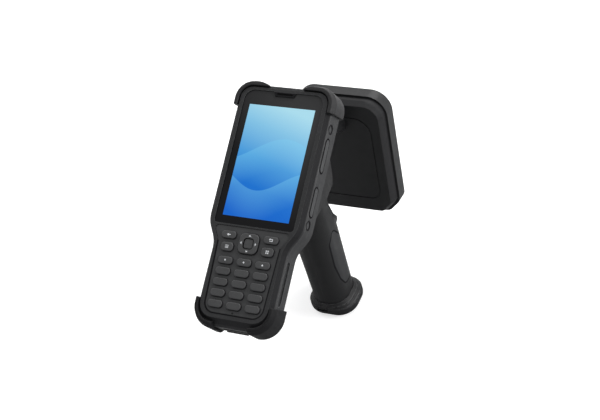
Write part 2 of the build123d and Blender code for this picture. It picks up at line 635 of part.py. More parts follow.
# Cradle: wedge between the terminal's back and the grip
cradle_points = [(-46, BACK_Z), (36, BACK_Z), (33, -29), (21, -33), (9, -46.5), (2.5, -50.5), (-12, -46),
                 (-46, -26)]
cradle_local = side_profile(list(reversed(cradle_points)), [0, 6, 3, 6, 8, 3, 0, 0], CRADLE_HALF)
cradle_local = chamfer(cradle_local.edges().filter_by(
    lambda e: abs(abs(e.center().X) - CRADLE_HALF) < 0.01 and e.center().Z < BACK_Z - 0.5), CRADLE_EDGE)
cradle = terminal * cradle_local
save("cradle", cradle)


# Filled outer form of the grip, which its halves, strap and boot share
def grip_section(z, half, depth, middle, inset=0.0):
    return Pos(0, middle, z) * tablet(2 * (half - inset), 2 * (depth - inset), GRIP_CORNER - inset)


def grip_form(inset, low, high):
    foot = grip_section(low, GRIP_FOOT_HALF, GRIP_FOOT_DEPTH, -1.8, inset)
    hand = grip_section(70, GRIP_HALF, GRIP_DEPTH, HAND_Y, inset)
    neck = grip_section(high, GRIP_HALF + 1.0, GRIP_DEPTH + 1.5, -4.6, inset)
    return loft([foot, hand, neck])


neck_points = [(-60, HEAD_TOP + 60 * HEAD_SLOPE), (60, HEAD_TOP - 60 * HEAD_SLOPE), (60, 220), (-60, 220)]
above_neck = side_profile(neck_points, [0, 0, 0, 0], 40)
strap_points = [(30, 26.5), (-5, 26.5), (-9.5, 36), (-12, 52), (-12, 76), (-8, 84), (-3, 84), (10, 64),
                (30, 63)]
strap_zone = side_profile(strap_points, [0, 3, 8, 8, 5, 3, 5, 4, 0], 30)


def finger_scoops(wall=0.0):
    """Long shallow hollows down the front corners of the grip, on both sides of the trigger."""
    hollows = []
    for side in (-1, 1):
        turned = Rot(0, 0, 90 - side * (90 - SCOOP_TURN))
        cutter = Rot(90, 0, 0) * Cylinder(SCOOP_RADIUS, SCOOP_RADIUS)
        hollow = Pos(SCOOP_DISTANCE - wall + SCOOP_RADIUS, 0, SCOOP_Z) * cutter
        hollows.append(turned * hollow)
    return hollows


grip_full = grip_form(0.0, GRIP_FOOT_Z, NECK_Z)
for hollow in finger_scoops():
    grip_full = grip_full - hollow
strap = (grip_full - grip_form(STRAP_THICK, GRIP_FOOT_Z - 1, NECK_Z + 1)) & strap_zone
save("grip_strap", strap)
grip_outer = grip_full - cradle - above_neck

# Hollow inside the grip and the well that the trigger moves in
cavity = grip_form(GRIP_WALL, GRIP_FOOT_Z + GRIP_WALL, 124)
for hollow in finger_scoops(GRIP_WALL):
    cavity = cavity - hollow
well_points = [(40, WELL_FLOOR), (-6, WELL_FLOOR), (-9, 100), (-8, 121), (9, 121), (12, 117), (40, 117)]
well = side_profile(well_points, [0, 2, 2, 2, 2, 2, 0], TRIGGER_HALF + WELL_FIT)
pin_bore = Pos(0, PIVOT_Y, PIVOT_Z) * Rot(0, 90, 0) * Cylinder(PIN_RADIUS + 0.02, PIN_LENGTH + 0.4)
pocket_x = TRIGGER_HALF + WELL_FIT + POCKET_DEEP / 2
spring_pocket = Pos(pocket_x, PIVOT_Y, PIVOT_Z) * Rot(0, 90, 0) * Cylinder(SPRING_POCKET, POCKET_DEEP)
grip = grip_outer - cavity
bearing = Pos(0, PIVOT_Y, PIVOT_Z) * Rot(0, 90, 0) * Cylinder(5.2, 2 * (GRIP_HALF - 1.5))
cell_width, cell_depth, cell_length = GUN_CELL
shelf = grip_form(GRIP_WALL - 0.1, GRIP_FOOT_Z, NECK_Z) & Pos(0, 0, WELL_FLOOR - 1.2) * Box(60, 60, 2.4)
grip = (grip + bearing + shelf) & grip_full
grip_screw_holes = []
for z in GRIP_SCREW_Z:
    place = Pos(-GRIP_SCREW_X, GRIP_SCREW_Y, z) * Rot(0, 90, 0)
    body, hole = screw(place)
    screws.append(body)
    grip_screw_holes.append(hole)
    grip = grip + (place * Pos(0, 0, 4.0) * Cylinder(BOSS_RADIUS, 6.0))
grip = grip - well - pin_bore - spring_pocket - strap
for hole in grip_screw_holes:
    grip = grip - hole
half_space = Pos(WORK_SPACE / 2, 0, 0) * Box(WORK_SPACE, WORK_SPACE, WORK_SPACE)
save("grip_right", grip & half_space)
save("grip_left", grip - half_space)

# Boot: rubber foot with two grooves round its collar, a flat base and a slot for the wrist strap
boot = prism(tablet(2 * BOOT_HALF, 2 * BOOT_DEPTH, BOOT_CORNER), 0, BOOT_WIDE_Z)
boot = fillet(boot.faces().sort_by(Axis.Z)[0].edges(), BOOT_EDGE)


def collar_form(inset=0.0):
    return taper(tablet(2 * (BOOT_HALF - inset), 2 * (BOOT_DEPTH - inset), BOOT_CORNER - inset), BOOT_WIDE_Z,
                 Pos(0, COLLAR_Y) * tablet(2 * (GRIP_FOOT_HALF + COLLAR_WALL - inset),
                                           2 * (GRIP_FOOT_DEPTH + COLLAR_WALL - inset),
                                           GRIP_CORNER + 1 - inset), BOOT_TOP_Z)


boot = boot + collar_form()
for z in COLLAR_GROOVES_Z:
    groove = Pos(0, 0, z + COLLAR_GROOVE_WIDTH / 2) * Box(60, 60, COLLAR_GROOVE_WIDTH)
    boot = boot - (groove - collar_form(COLLAR_GROOVE))
boot = boot - grip_full
slot_width, slot_deep, slot_height = STRAP_SLOT
slot_x, slot_z = STRAP_SLOT_PLACE
boot = boot - Pos(slot_x, -BOOT_DEPTH, slot_z) * Box(slot_width, 3.0, slot_height)
save("grip_boot", boot)

# Cell in the grip, resting on the foot of the shell
cell = Pos(0, -2.0, 0) * prism(tablet(cell_width, cell_depth, 8.0), GRIP_FOOT_Z + GRIP_WALL + 0.1,
                               GRIP_FOOT_Z + GRIP_WALL + 0.1 + cell_length)
save("gun_battery", cell)

# Trigger on its pin, with the return spring beside it and the switch behind
trigger_points = [(8.5, 110), (6, 118), (-1, 118), (-3, 108), (0, 92), (4, 78), (11, 69.6), (16.5, 69),
                  (20.4, 70.6), (21.6, 73.6), (17.8, 79.8), (15.3, 87.3), (12.9, 96)]
trigger = side_profile(trigger_points, [4, 3, 3, 4, 10, 6, 2, 2.5, 1.6, 1.4, 8, 12, 14], TRIGGER_HALF)
trigger = fillet(trigger.edges().filter_by(lambda e: abs(abs(e.center().X) - TRIGGER_HALF) < 0.01
                                           and e.center().Y > 12 and e.center().Z < 97), 0.8)
trigger = trigger - Pos(0, PIVOT_Y, PIVOT_Z) * Rot(0, 90, 0) * Cylinder(PIN_RADIUS + RUNNING, 40)
save("trigger", trigger)
save("trigger_pin", Pos(0, PIVOT_Y, PIVOT_Z) * Rot(0, 90, 0) * Cylinder(PIN_RADIUS, PIN_LENGTH))
coil_path = Helix(SPRING_PITCH, SPRING_PITCH * SPRING_TURNS, SPRING_RADIUS)
coil_profile = Plane(origin=coil_path @ 0, z_dir=coil_path % 0) * Circle(SPRING_WIRE)
coil = sweep(coil_profile, path=coil_path)
save("trigger_spring", Pos(TRIGGER_HALF + WELL_FIT + 0.5, PIVOT_Y, PIVOT_Z) * Rot(0, 90, 0) * coil)
switch_width, switch_depth, switch_height = SWITCH_SIZE
switch_y = HAND_Y - GRIP_DEPTH + GRIP_WALL + 0.2 + switch_depth / 2
switch = Pos(0, switch_y, SWITCH_Z) * Box(switch_width, switch_depth, switch_height)
switch = switch + Pos(0, switch_y + switch_depth / 2 + 0.3, SWITCH_Z + 1.5) * Box(3.0, 1.2, 1.6)
save("trigger_switch", switch)


# Antenna panel, in its own frame: x right, y up, z towards the user, 0 at the rear face
def panel_face(inset=0.0, foot=0.0):
    """Panel outline with rounded top corners and slanted bottom corners, pulled in evenly all round."""
    wide, tall = PANEL_CUT
    slant = hypot(wide, tall)
    low = -PANEL_TALL + inset + foot
    right = [(PANEL_HALF - wide - inset * (slant - wide) / tall, low),
             (PANEL_HALF - inset, low + tall - inset + inset * (slant - tall) / wide),
             (PANEL_HALF - inset, PANEL_TALL - inset)]
    cut_radius = max(LEAST_RADIUS, PANEL_CUT_RADIUS - inset)
    return mirrored(right, [cut_radius, cut_radius, PANEL_CORNER - inset])


def face_line(grow):
    """Outline of the engraved line on the rear face, grown or shrunk by half its width."""
    low, high = FACE_LINE_SPAN
    low_radius, high_radius = FACE_LINE_RADII
    right = [(FACE_LINE_HALF + grow, low - grow), (FACE_LINE_HALF + grow, high + grow)]
    return mirrored(right, [low_radius + grow, high_radius + grow])


rear_edge = panel_face(STEP, FOOT_STEP)
rear_shell_form = (prism(rear_edge, -SPLIT_DEPTH, -REAR_BEVEL)
                   + taper(rear_edge, -REAR_BEVEL, panel_face(STEP + REAR_FLAT_INSET, FOOT_STEP), 0))
rear_shell_form = rear_shell_form - (prism(face_line(FACE_LINE_WIDTH / 2), -FACE_LINE_DEPTH, 1)
                                     - prism(face_line(-FACE_LINE_WIDTH / 2), -FACE_LINE_DEPTH - 1, 2))
rear_inside = panel_face(STEP + PANEL_WALL + SHELL_LAP, FOOT_STEP)
rear_shell = rear_shell_form - prism(rear_inside, -SPLIT_DEPTH - 1, -PANEL_WALL)
save("antenna_rear_cover", panel * rear_shell)
radome = (prism(panel_face(), -PANEL_THICK + FRONT_ROLL_DEPTH, -SPLIT_DEPTH)
          + taper(panel_face(FRONT_ROLL), -PANEL_THICK, panel_face(), -PANEL_THICK + FRONT_ROLL_DEPTH))
radome = radome - prism(panel_face(PANEL_WALL + 1.6), -PANEL_THICK + PANEL_WALL, -SPLIT_DEPTH + 1)
save("antenna_radome", panel * radome)
reader_width, reader_length = READER_SIZE
reader_top = -PANEL_WALL - 0.3
reader = prism(tablet(reader_width, reader_length, 4.0), reader_top - READER_THICK, reader_top)
for x, y, width, length in ((-6, 16, 20, 18), (8, -16, 16, 24)):
    reader = reader + Pos(x, y, reader_top - READER_THICK - 1.0) * Box(width, length, 2.0)
save("reader_board", panel * reader)
patch_top = reader_top - READER_THICK - PATCH_STAND
patch = prism(tablet(PATCH_SIZE - 8, PATCH_SIZE, 6.0), patch_top - PATCH_THICK, patch_top)
for x in (-1, 1):
    for y in (-1, 1):
        patch = patch + Pos(x * 22, y * 26, patch_top + PATCH_STAND / 2) * Cylinder(1.6, PATCH_STAND)
save("patch_antenna", panel * patch)

# Arm from the front of the cradle to the upper part of the panel, hidden behind the terminal
arm_points = [(-8, 140), (4, 147), (40, 138), (66, 122), (85, 122), (85, 150), (60, 152), (12, 170),
              (-8, 160)]
arm = side_profile(arm_points, [0, 6, 20, 4, 0, 0, 20, 6, 0], ARM_HALF)
arm = chamfer(arm.edges().filter_by(lambda e: abs(abs(e.center().X) - ARM_HALF) < 0.01), ARM_EDGE)
panel_zone = panel * (Pos(0, 0, -WORK_SPACE / 2) * Box(WORK_SPACE, WORK_SPACE, WORK_SPACE))
arm = arm - panel_zone - cradle - grip_full
arm = arm.solids().sort_by(SortBy.VOLUME)[-1]
save("antenna_arm", arm)
save("screws", *screws)
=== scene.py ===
import bmesh
import bpy
import math
from mathutils import Matrix, Vector


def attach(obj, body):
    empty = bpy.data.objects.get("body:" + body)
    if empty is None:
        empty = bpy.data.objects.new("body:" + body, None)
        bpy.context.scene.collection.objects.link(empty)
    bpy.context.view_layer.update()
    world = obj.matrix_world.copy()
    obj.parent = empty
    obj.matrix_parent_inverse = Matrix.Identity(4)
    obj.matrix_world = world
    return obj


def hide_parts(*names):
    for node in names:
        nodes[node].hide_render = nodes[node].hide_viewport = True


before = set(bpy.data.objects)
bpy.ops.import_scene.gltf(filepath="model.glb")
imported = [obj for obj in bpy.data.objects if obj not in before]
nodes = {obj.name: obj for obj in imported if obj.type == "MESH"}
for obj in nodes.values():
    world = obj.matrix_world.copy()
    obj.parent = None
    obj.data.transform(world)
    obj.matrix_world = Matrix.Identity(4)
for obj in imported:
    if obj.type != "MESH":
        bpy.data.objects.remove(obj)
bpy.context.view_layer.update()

# Rear housing: the deep moulded shell at the terminal's back, in charcoal plastic with a fine
# spark-eroded texture. Everything in the terminal is screwed or clipped to it.
MM = 0.001
CHARCOAL = (0.024, 0.0245, 0.026, 1)
CHARCOAL_WORN = (0.060, 0.061, 0.063, 1)
DUST_COLOUR = (0.16, 0.155, 0.145, 1)
DUST_AMOUNT = 0.12
CELL_SHARE = 0.4
EDGE_TURN = (0.995, 0.86)
RUBBED_SPAN = (0.42, 0.66)
RUBBED_SHARE = (0.15, 1.0)
DUST_TILT = (0.2, 1.0)
DUST_SPAN = (0.45, 0.8)
PLASTIC_PATCH = 0.72
PLASTIC_GLOSS_SWING = 0.06
RUBBED_POLISH = 0.12
MOTTLE_SPAN = (0.3, 0.7)
WELD_REACH = 0.002
SHARP_ANGLE = 24
FLOAT = "NodeSocketFloat"


def fill(tree, socket, value):
    """Sets an input socket, or links it where the value is a (node, output) pair."""
    if isinstance(value, tuple) and isinstance(value[0], bpy.types.Node):
        tree.links.new(value[0].outputs[value[1]], socket)
    else:
        socket.default_value = value


def add_node(tree, kind, settings=(), **inputs):
    """One node with its settings and inputs; _0, _1 and so on name an input by its number."""
    node = tree.nodes.new(kind)
    for key, value in dict(settings).items():
        setattr(node, key, value)
    for key, value in inputs.items():
        socket = node.inputs[int(key[1:])] if key[0] == "_" else node.inputs[key.replace("_", " ")]
        fill(tree, socket, value)
    return node


def calc(tree, operation, *values):
    """A sum on numbers or masks; like each function that returns a pair, it can feed the next one."""
    inputs = {f"_{index}": value for index, value in enumerate(values)}
    return add_node(tree, "ShaderNodeMath", {"operation": operation}, **inputs), 0


def vector_calc(tree, operation, *values, **inputs):
    """The same for vectors; a dot product, a length or a distance comes back as a number."""
    inputs.update({f"_{index}": value for index, value in enumerate(values)})
    node = add_node(tree, "ShaderNodeVectorMath", {"operation": operation}, **inputs)
    return node, "Value" if operation in ("DOT_PRODUCT", "LENGTH", "DISTANCE") else 0


def product(tree, first, *others):
    """Numbers or masks multiplied together."""
    for other in others:
        first = calc(tree, "MULTIPLY", first, other)
    return first


def ramp(tree, value, start, end, low=0.0, high=1.0):
    """Low up to the start value, high from the end value on, with an even slope between them."""
    return add_node(tree, "ShaderNodeMapRange", _0=value, _1=start, _2=end, _3=low, _4=high), 0


def mixed(tree, mask, first, second):
    """A colour between two others by a mask."""
    return add_node(tree, "ShaderNodeMix", {"data_type": "RGBA"}, _0=mask, _6=first, _7=second), 2


def in_millimetres(tree):
    """The place of a point on its object, in millimetres."""
    place = add_node(tree, "ShaderNodeTexCoord")
    return vector_calc(tree, "SCALE", (place, "Object"), Scale=1 / MM)


def facing_axes(tree):
    """How far a surface faces along each of the world's axes."""
    facing = add_node(tree, "ShaderNodeNewGeometry")
    return add_node(tree, "ShaderNodeSeparateXYZ", _0=(facing, "Normal"))


def shader_group(name, inputs, output_names):
    """A shared effect with named inputs and outputs; returns the group and its two ends."""
    group = bpy.data.node_groups.new(name, "ShaderNodeTree")
    for label, value in inputs:
        socket = group.interface.new_socket(name=label, in_out="INPUT", socket_type=FLOAT)
        socket.default_value = value
    for label in output_names:
        group.interface.new_socket(name=label, in_out="OUTPUT", socket_type=FLOAT)
    return group, group.nodes.new("NodeGroupInput"), group.nodes.new("NodeGroupOutput")


grain, grain_in, grain_out = shader_group("moulded_grain", [("Size", 0.4), ("Patch Size", 9.0)],
                                          ["Height", "Mottle"])
here = in_millimetres(grain)
pits = calc(grain, "DIVIDE", 1.0, (grain_in, "Size"))
patches = calc(grain, "DIVIDE", 1.0, (grain_in, "Patch Size"))
fine = add_node(grain, "ShaderNodeTexNoise", Vector=here, Scale=pits, Detail=2.0, Roughness=0.6)
cells = add_node(grain, "ShaderNodeTexVoronoi", Vector=here, Scale=pits)
broad = add_node(grain, "ShaderNodeTexNoise", Vector=here, Scale=patches, Detail=3.0)
height = calc(grain, "ADD", (fine, 0), product(grain, (cells, 0), CELL_SHARE))
fill(grain, grain_out.inputs["Height"], height)
fill(grain, grain_out.inputs["Mottle"], (broad, 0))

wear, wear_in, wear_out = shader_group("edge_wear", [("Width", 0.5), ("Amount", 1.0)], ["Mask"])
rounded = add_node(wear, "ShaderNodeBevel", {"samples": 4}, Radius=product(wear, (wear_in, "Width"), MM))
facing = add_node(wear, "ShaderNodeNewGeometry")
turned = vector_calc(wear, "DOT_PRODUCT", (rounded, "Normal"), (facing, "Normal"))
edge = ramp(wear, turned, *EDGE_TURN)
rubbed = add_node(wear, "ShaderNodeTexNoise", Vector=in_millimetres(wear), Scale=0.35, Detail=4.0,
                  Roughness=0.65)
broken = ramp(wear, (rubbed, 0), *RUBBED_SPAN, *RUBBED_SHARE)
fill(wear, wear_out.inputs["Mask"], product(wear, edge, broken, (wear_in, "Amount")))

dust, dust_in, dust_out = shader_group("settled_dust", [("Amount", 1.0)], ["Mask"])
upward = ramp(dust, (facing_axes(dust), "Z"), *DUST_TILT)
specks = add_node(dust, "ShaderNodeTexNoise", Vector=in_millimetres(dust), Scale=0.9, Detail=6.0,
                  Roughness=0.7)
gathered = ramp(dust, (specks, 0), *DUST_SPAN)
fill(dust, dust_out.inputs["Mask"], product(dust, upward, gathered, (dust_in, "Amount")))


def effect(tree, group, **values):
    """Places a shared effect in a material, with the material's own values."""
    return add_node(tree, "ShaderNodeGroup", {"node_tree": group}, **values)


def times(colour, share):
    """The colour made darker or paler by a share."""
    return tuple(value * share for value in colour[:3]) + (1,)


def new_material(name):
    """A plain material; returns it with its node tree and its shader."""
    material = bpy.data.materials.new(name)
    material.use_nodes = True
    return material, material.node_tree, material.node_tree.nodes["Principled BSDF"]


def relief(tree, shader, height, depth, strength=1.0):
    """Small relief in a surface, as deep as given in millimetres."""
    bump = add_node(tree, "ShaderNodeBump", Strength=strength, Distance=depth * MM, Height=height)
    fill(tree, shader.inputs["Normal"], (bump, 0))


def moulded(name, colour, edge_colour, roughness, pit_size, pit_depth,
            specular=0.2, edge_amount=0.8, edge_width=0.5):
    """Moulded plastic or rubber: grain in the surface, a colour along the edges and a little settled dust.
    """
    material, tree, shader = new_material(name)
    shader.inputs["Specular IOR Level"].default_value = specular
    texture = effect(tree, grain, Size=pit_size)
    edges = effect(tree, wear, Amount=edge_amount, Width=edge_width)
    settled = effect(tree, dust, Amount=DUST_AMOUNT)
    body = mixed(tree, (texture, "Mottle"), times(colour, PLASTIC_PATCH), colour)
    # The edge colour is rubbed wear on most parts. On the keypad plate it is painted shade, and on the
    # front housing and the boot it is rubbed wear with a painted highlight.
    rubbed = mixed(tree, (edges, "Mask"), body, edge_colour)
    fill(tree, shader.inputs["Base Color"], mixed(tree, (settled, "Mask"), rubbed, DUST_COLOUR))
    gloss = ramp(tree, (texture, "Mottle"), *MOTTLE_SPAN,
                 roughness - PLASTIC_GLOSS_SWING, roughness + PLASTIC_GLOSS_SWING)
    polish = product(tree, (edges, "Mask"), RUBBED_POLISH)
    fill(tree, shader.inputs["Roughness"], calc(tree, "SUBTRACT", gloss, polish))
    relief(tree, shader, (texture, "Height"), pit_depth)
    return material


def dress(material, *names):
    """Gives CAD nodes or new pieces their material in place of the plain one."""
    for name in names:
        piece = nodes[name] if isinstance(name, str) else name
        piece.data.materials.clear()
        piece.data.materials.append(material)


def softened(width, *names, segments=3):
    """Rounds the hard edges of CAD nodes, as the mould's own small radii do."""
    for name in names:
        weld = nodes[name].modifiers.new("joined", "WELD")
        weld.merge_threshold = WELD_REACH * MM
        bevel = nodes[name].modifiers.new("edge_radius", "BEVEL")
        bevel.limit_method = "ANGLE"
        bevel.angle_limit = math.radians(SHARP_ANGLE)
        bevel.width = width * MM
        bevel.segments = segments
        bevel.use_clamp_overlap = True
        normals = nodes[name].modifiers.new("face_light", "WEIGHTED_NORMAL")
        normals.keep_sharp = False


housing_plastic = moulded("housing_plastic", CHARCOAL, CHARCOAL_WORN, roughness=0.50, pit_size=0.35,
                          pit_depth=0.05)
dress(housing_plastic, "rear_housing")
softened(0.35, "rear_housing")

# Battery cover and batteries: the cover is a moulded lid in the back, with a finger dent. A flat
# wrapped cell lies under it, and another cell stands in the grip.
cover_plastic = moulded("cover_plastic", CHARCOAL, CHARCOAL_WORN, roughness=0.54, pit_size=0.5,
                        pit_depth=0.07)
dress(cover_plastic, "battery_cover")
softened(0.3, "battery_cover")
WRAP_BLACK = (0.018, 0.018, 0.02, 1)
WRAP_WORN = (0.05, 0.05, 0.055, 1)
wrap_film = moulded("wrap_film", WRAP_BLACK, WRAP_WORN, roughness=0.35, pit_size=1.6, pit_depth=0.03,
                    edge_amount=0.3)
dress(wrap_film, "terminal_battery", "gun_battery")

# Camera window: a small polished dark pane glued into the back, with a thin turned trim ring set
# into it round the lens.
TERMINAL_TILT = math.radians(29.7)
DISPLAY_CENTRE = Vector((0, -34.1, 179.2)) * MM
TERMINAL = (Matrix.Translation(DISPLAY_CENTRE) @ Matrix.Rotation(TERMINAL_TILT, 4, "X")
            @ Matrix.Diagonal((MM, MM, MM, 1)))
BACK_Z = -24.0
CAMERA_Y = 45.5
RING_OUTLINE = ((3.35, 0.02), (3.7, 0.08), (3.7, 0.4), (2.7, 0.4), (2.7, 0.08), (2.95, 0.02))
RING_STEPS = 48
PANE_BLACK = (0.006, 0.006, 0.009, 1)
PANE_PATCH = 1.35
PANE_GLOSS_SWING = 0.06
SMEAR_SPAN = (0.35, 0.7)
LENS_BLACK = (0.01, 0.01, 0.012, 1)
LENS_WORN = (0.04, 0.04, 0.045, 1)


def glazed(name, colour, roughness):
    """Polished dark pane: faint smears change its gloss."""
    material, tree, shader = new_material(name)
    shader.inputs["Specular IOR Level"].default_value = 0.5
    shader.inputs["Coat Weight"].default_value = 0.4
    shader.inputs["Coat Roughness"].default_value = 0.04
    smears = effect(tree, grain, Size=3.0, Patch_Size=14.0)
    tint = mixed(tree, (smears, "Mottle"), colour, times(colour, PANE_PATCH))
    fill(tree, shader.inputs["Base Color"], tint)
    gloss = ramp(tree, (smears, "Mottle"), *SMEAR_SPAN, roughness, roughness + PANE_GLOSS_SWING)
    fill(tree, shader.inputs["Roughness"], gloss)
    return material


def finished(name, work, body, material):
    """Makes a piece of the worked mesh, dresses it and lets it ride on its body."""
    bmesh.ops.recalc_face_normals(work, faces=work.faces)
    mesh = bpy.data.meshes.new(name)
    work.to_mesh(mesh)
    work.free()
    piece = bpy.data.objects.new(name, mesh)
    bpy.context.scene.collection.objects.link(piece)
    dress(material, piece)
    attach(piece, body)
    return piece


def turned_ring(name, outline, centre, body, material):
    """A small turned piece: an outline of radii and heights, spun about the terminal's depth."""
    work = bmesh.new()
    rows = []
    for step in range(RING_STEPS):
        angle = 2 * math.pi * step / RING_STEPS
        rows.append([work.verts.new(TERMINAL @ Vector((centre[0] + radius * math.cos(angle),
                                                       centre[1] + radius * math.sin(angle), z)))
                     for radius, z in outline])
    for this, following in zip(rows, rows[1:] + rows[:1]):
        for index in range(len(outline)):
            after = (index + 1) % len(outline)
            work.faces.new((this[index], following[index], following[after], this[after]))
    piece = finished(name, work, body, material)
    piece.data.shade_smooth()
    return piece


dark_pane = glazed("dark_pane", PANE_BLACK, roughness=0.06)
dress(dark_pane, "camera_window")
lens_black = moulded("lens_black", LENS_BLACK, LENS_WORN, roughness=0.3, pit_size=0.3, pit_depth=0.02)
camera_ring = turned_ring("camera_ring", [(radius, BACK_Z + rise) for radius, rise in RING_OUTLINE],
                          (0, CAMERA_Y), "body", lens_black)

# Scan window and scan engine: a dark red pane let into the top wall, and behind it the engine, an
# alloy casting that its bracket holds to the housing.
SCAN_RED = (0.035, 0.003, 0.004, 1)
ALLOY_GREY = (0.30, 0.30, 0.31, 1)
METAL_PATCH = 0.8
METAL_GLOSS = (-0.05, 0.08)
scan_pane = glazed("scan_pane", SCAN_RED, roughness=0.07)
dress(scan_pane, "scan_window")


def metal(name, colour, roughness, pit_size, pit_depth):
    """Bare metal with a brushed or cast grain and small changes in its gloss."""
    material, tree, shader = new_material(name)
    shader.inputs["Metallic"].default_value = 1.0
    texture = effect(tree, grain, Size=pit_size, Patch_Size=4.0)
    tint = mixed(tree, (texture, "Mottle"), times(colour, METAL_PATCH), colour)
    fill(tree, shader.inputs["Base Color"], tint)
    gloss = ramp(tree, (texture, "Mottle"), *MOTTLE_SPAN, *[roughness + swing for swing in METAL_GLOSS])
    fill(tree, shader.inputs["Roughness"], gloss)
    relief(tree, shader, (texture, "Height"), pit_depth)
    return material


cast_alloy = metal("cast_alloy", ALLOY_GREY, roughness=0.5, pit_size=0.3, pit_depth=0.03)
dress(cast_alloy, "scan_engine")

# Charging port and its flap: the port's plated shell is soldered to the main board, and a rubber
# flap on a small hinge pin seals it.
PLATING_GREY = (0.56, 0.56, 0.57, 1)
FLAP_BLACK = (0.014, 0.014, 0.015, 1)
FLAP_WORN = (0.05, 0.05, 0.052, 1)
plated_steel = metal("plated_steel", PLATING_GREY, roughness=0.28, pit_size=0.2, pit_depth=0.01)
dress(plated_steel, "usb_port")
flap_rubber = moulded("flap_rubber", FLAP_BLACK, FLAP_WORN, roughness=0.58, pit_size=0.3, pit_depth=0.04)
dress(flap_rubber, "usb_flap")
softened(0.2, "usb_flap")

# Boards and key mat: green solder mask over copper tracks, and a grey silicone mat with the domes.
# The boards are screwed and clipped to the housing, and the mat lies on the keypad board.
TRACK_SCALE = 420.0
TRACK_LINE = 0.03
TRACK_GREEN = (0.012, 0.12, 0.05, 1)
MASK_GREENS = ((0.004, 0.05, 0.02, 1), (0.005, 0.065, 0.026, 1))
MAT_GREY = (0.05, 0.05, 0.053, 1)
MAT_WORN = (0.08, 0.08, 0.08, 1)


def board_finish(name):
    """Solder mask with faint square tracks under it."""
    material, tree, shader = new_material(name)
    where = add_node(tree, "ShaderNodeTexCoord")
    tracks = add_node(tree, "ShaderNodeTexBrick", Vector=(where, "Object"), Scale=TRACK_SCALE,
                      Mortar_Size=TRACK_LINE, Mortar=TRACK_GREEN,
                      Color1=MASK_GREENS[0], Color2=MASK_GREENS[1])
    fill(tree, shader.inputs["Base Color"], (tracks, "Color"))
    relief(tree, shader, (tracks, "Fac"), 0.02, strength=0.6)
    shader.inputs["Roughness"].default_value = 0.32
    return material


dress(board_finish("solder_mask"), "main_board", "keypad_board", "reader_board")
mat_silicone = moulded("mat_silicone", MAT_GREY, MAT_WORN, roughness=0.6, pit_size=0.5, pit_depth=0.03)
dress(mat_silicone, "keypad_mat")

# Front housing: moulded frame with a raised rim round the glass and a bevel down to the parting
# line, in the plastic of the back. Shade is painted on the bevel, in the key grooves, in the pockets
# and in the seams, and a small field round the earpiece is coloured black. The rim's edges carry
# rubbed wear with a painted highlight. Each slot has its middle, length and width.
TERMINAL_OUT = (0, -math.sin(TERMINAL_TILT), math.cos(TERMINAL_TILT))
FRONT_WEAR_AND_HIGHLIGHT = (0.085, 0.086, 0.088, 1)
SHADOW_BLACK = (0.004, 0.004, 0.005, 1)
BEVEL_BLACK = (0.007, 0.007, 0.008, 1)
SHADE_ROUGHNESS = 0.95
FIELD_HALF = 9.6
FIELD_SPAN = (47.6, 51.9)
FIELD_LEVELS = (0.4, 2.0)
BEVEL_SHADE = 0.85
BEVEL_FROM_FRONT = (0.80, 0.68)
BEVEL_FROM_SIDE = (0.38, 0.48)
BEVEL_SPAN = (-140.0, 46.0)
BEVEL_LEVELS = (-3.5, -2.7)
POCKET_LEVELS = (-2.5, 0.5)
SIDE_WALL = 34.0
SIDE_KEY_Z = -7.4
SIDE_KEY_WIDTH = 5.0
PLUG_WIDTH = 5.2
PAIRED_SLOTS = ((11.2, 24.0, SIDE_KEY_WIDTH), (30.9, PLUG_WIDTH, PLUG_WIDTH),
                (-39.5, PLUG_WIDTH, PLUG_WIDTH))
RIGHT_SLOTS = ((-22.7, 20.7, SIDE_KEY_WIDTH),)
GROOVE_MIDDLE = 0.35
GROOVE_SHADE = (0.6, 1.1)
PLATE_HALF = 22.6
PLATE_FOOT = -111.3
PLATE_CORNER = 7.5
PLATE_FLARE = 0.0347
PLATE_SEAM_TOP = -60.0
PLATE_SEAM_SHADE = (0.85, 0.35)


def in_terminal(tree):
    """Terminal coordinates in millimetres: across, along and out of the glass."""
    where = add_node(tree, "ShaderNodeTexCoord")
    turned_back = add_node(tree, "ShaderNodeMapping", {"vector_type": "TEXTURE"}, Vector=(where, "Object"),
                           Location=DISPLAY_CENTRE, Rotation=(TERMINAL_TILT, 0, 0), Scale=(MM, MM, MM))
    return add_node(tree, "ShaderNodeSeparateXYZ", _0=(turned_back, 0))


def squareness(tree):
    """How squarely a surface faces the way the glass does: 1 on the front, 0 on a side wall."""
    turned = add_node(tree, "ShaderNodeNewGeometry")
    return vector_calc(tree, "DOT_PRODUCT", (turned, "Normal"), TERMINAL_OUT)


def between(tree, value, low, high):
    """1 where a value lies between two others, and 0 elsewhere."""
    return product(tree, calc(tree, "GREATER_THAN", value, low), calc(tree, "LESS_THAN", value, high))


def slot_shade(tree, axes, middle, length, width):
    """Shade in the narrow groove round a long slot in the side wall."""
    along = calc(tree, "ABSOLUTE", calc(tree, "SUBTRACT", (axes, "Y"), middle))
    past = calc(tree, "MAXIMUM", calc(tree, "SUBTRACT", along, (length - width) / 2), 0.0)
    up = calc(tree, "SUBTRACT", (axes, "Z"), SIDE_KEY_Z)
    squares = calc(tree, "MULTIPLY_ADD", past, past, product(tree, up, up))
    out = calc(tree, "SUBTRACT", calc(tree, "SQRT", squares), width / 2 + GROOVE_MIDDLE)
    return ramp(tree, calc(tree, "ABSOLUTE", out), *GROOVE_SHADE, 1.0, 0.0)


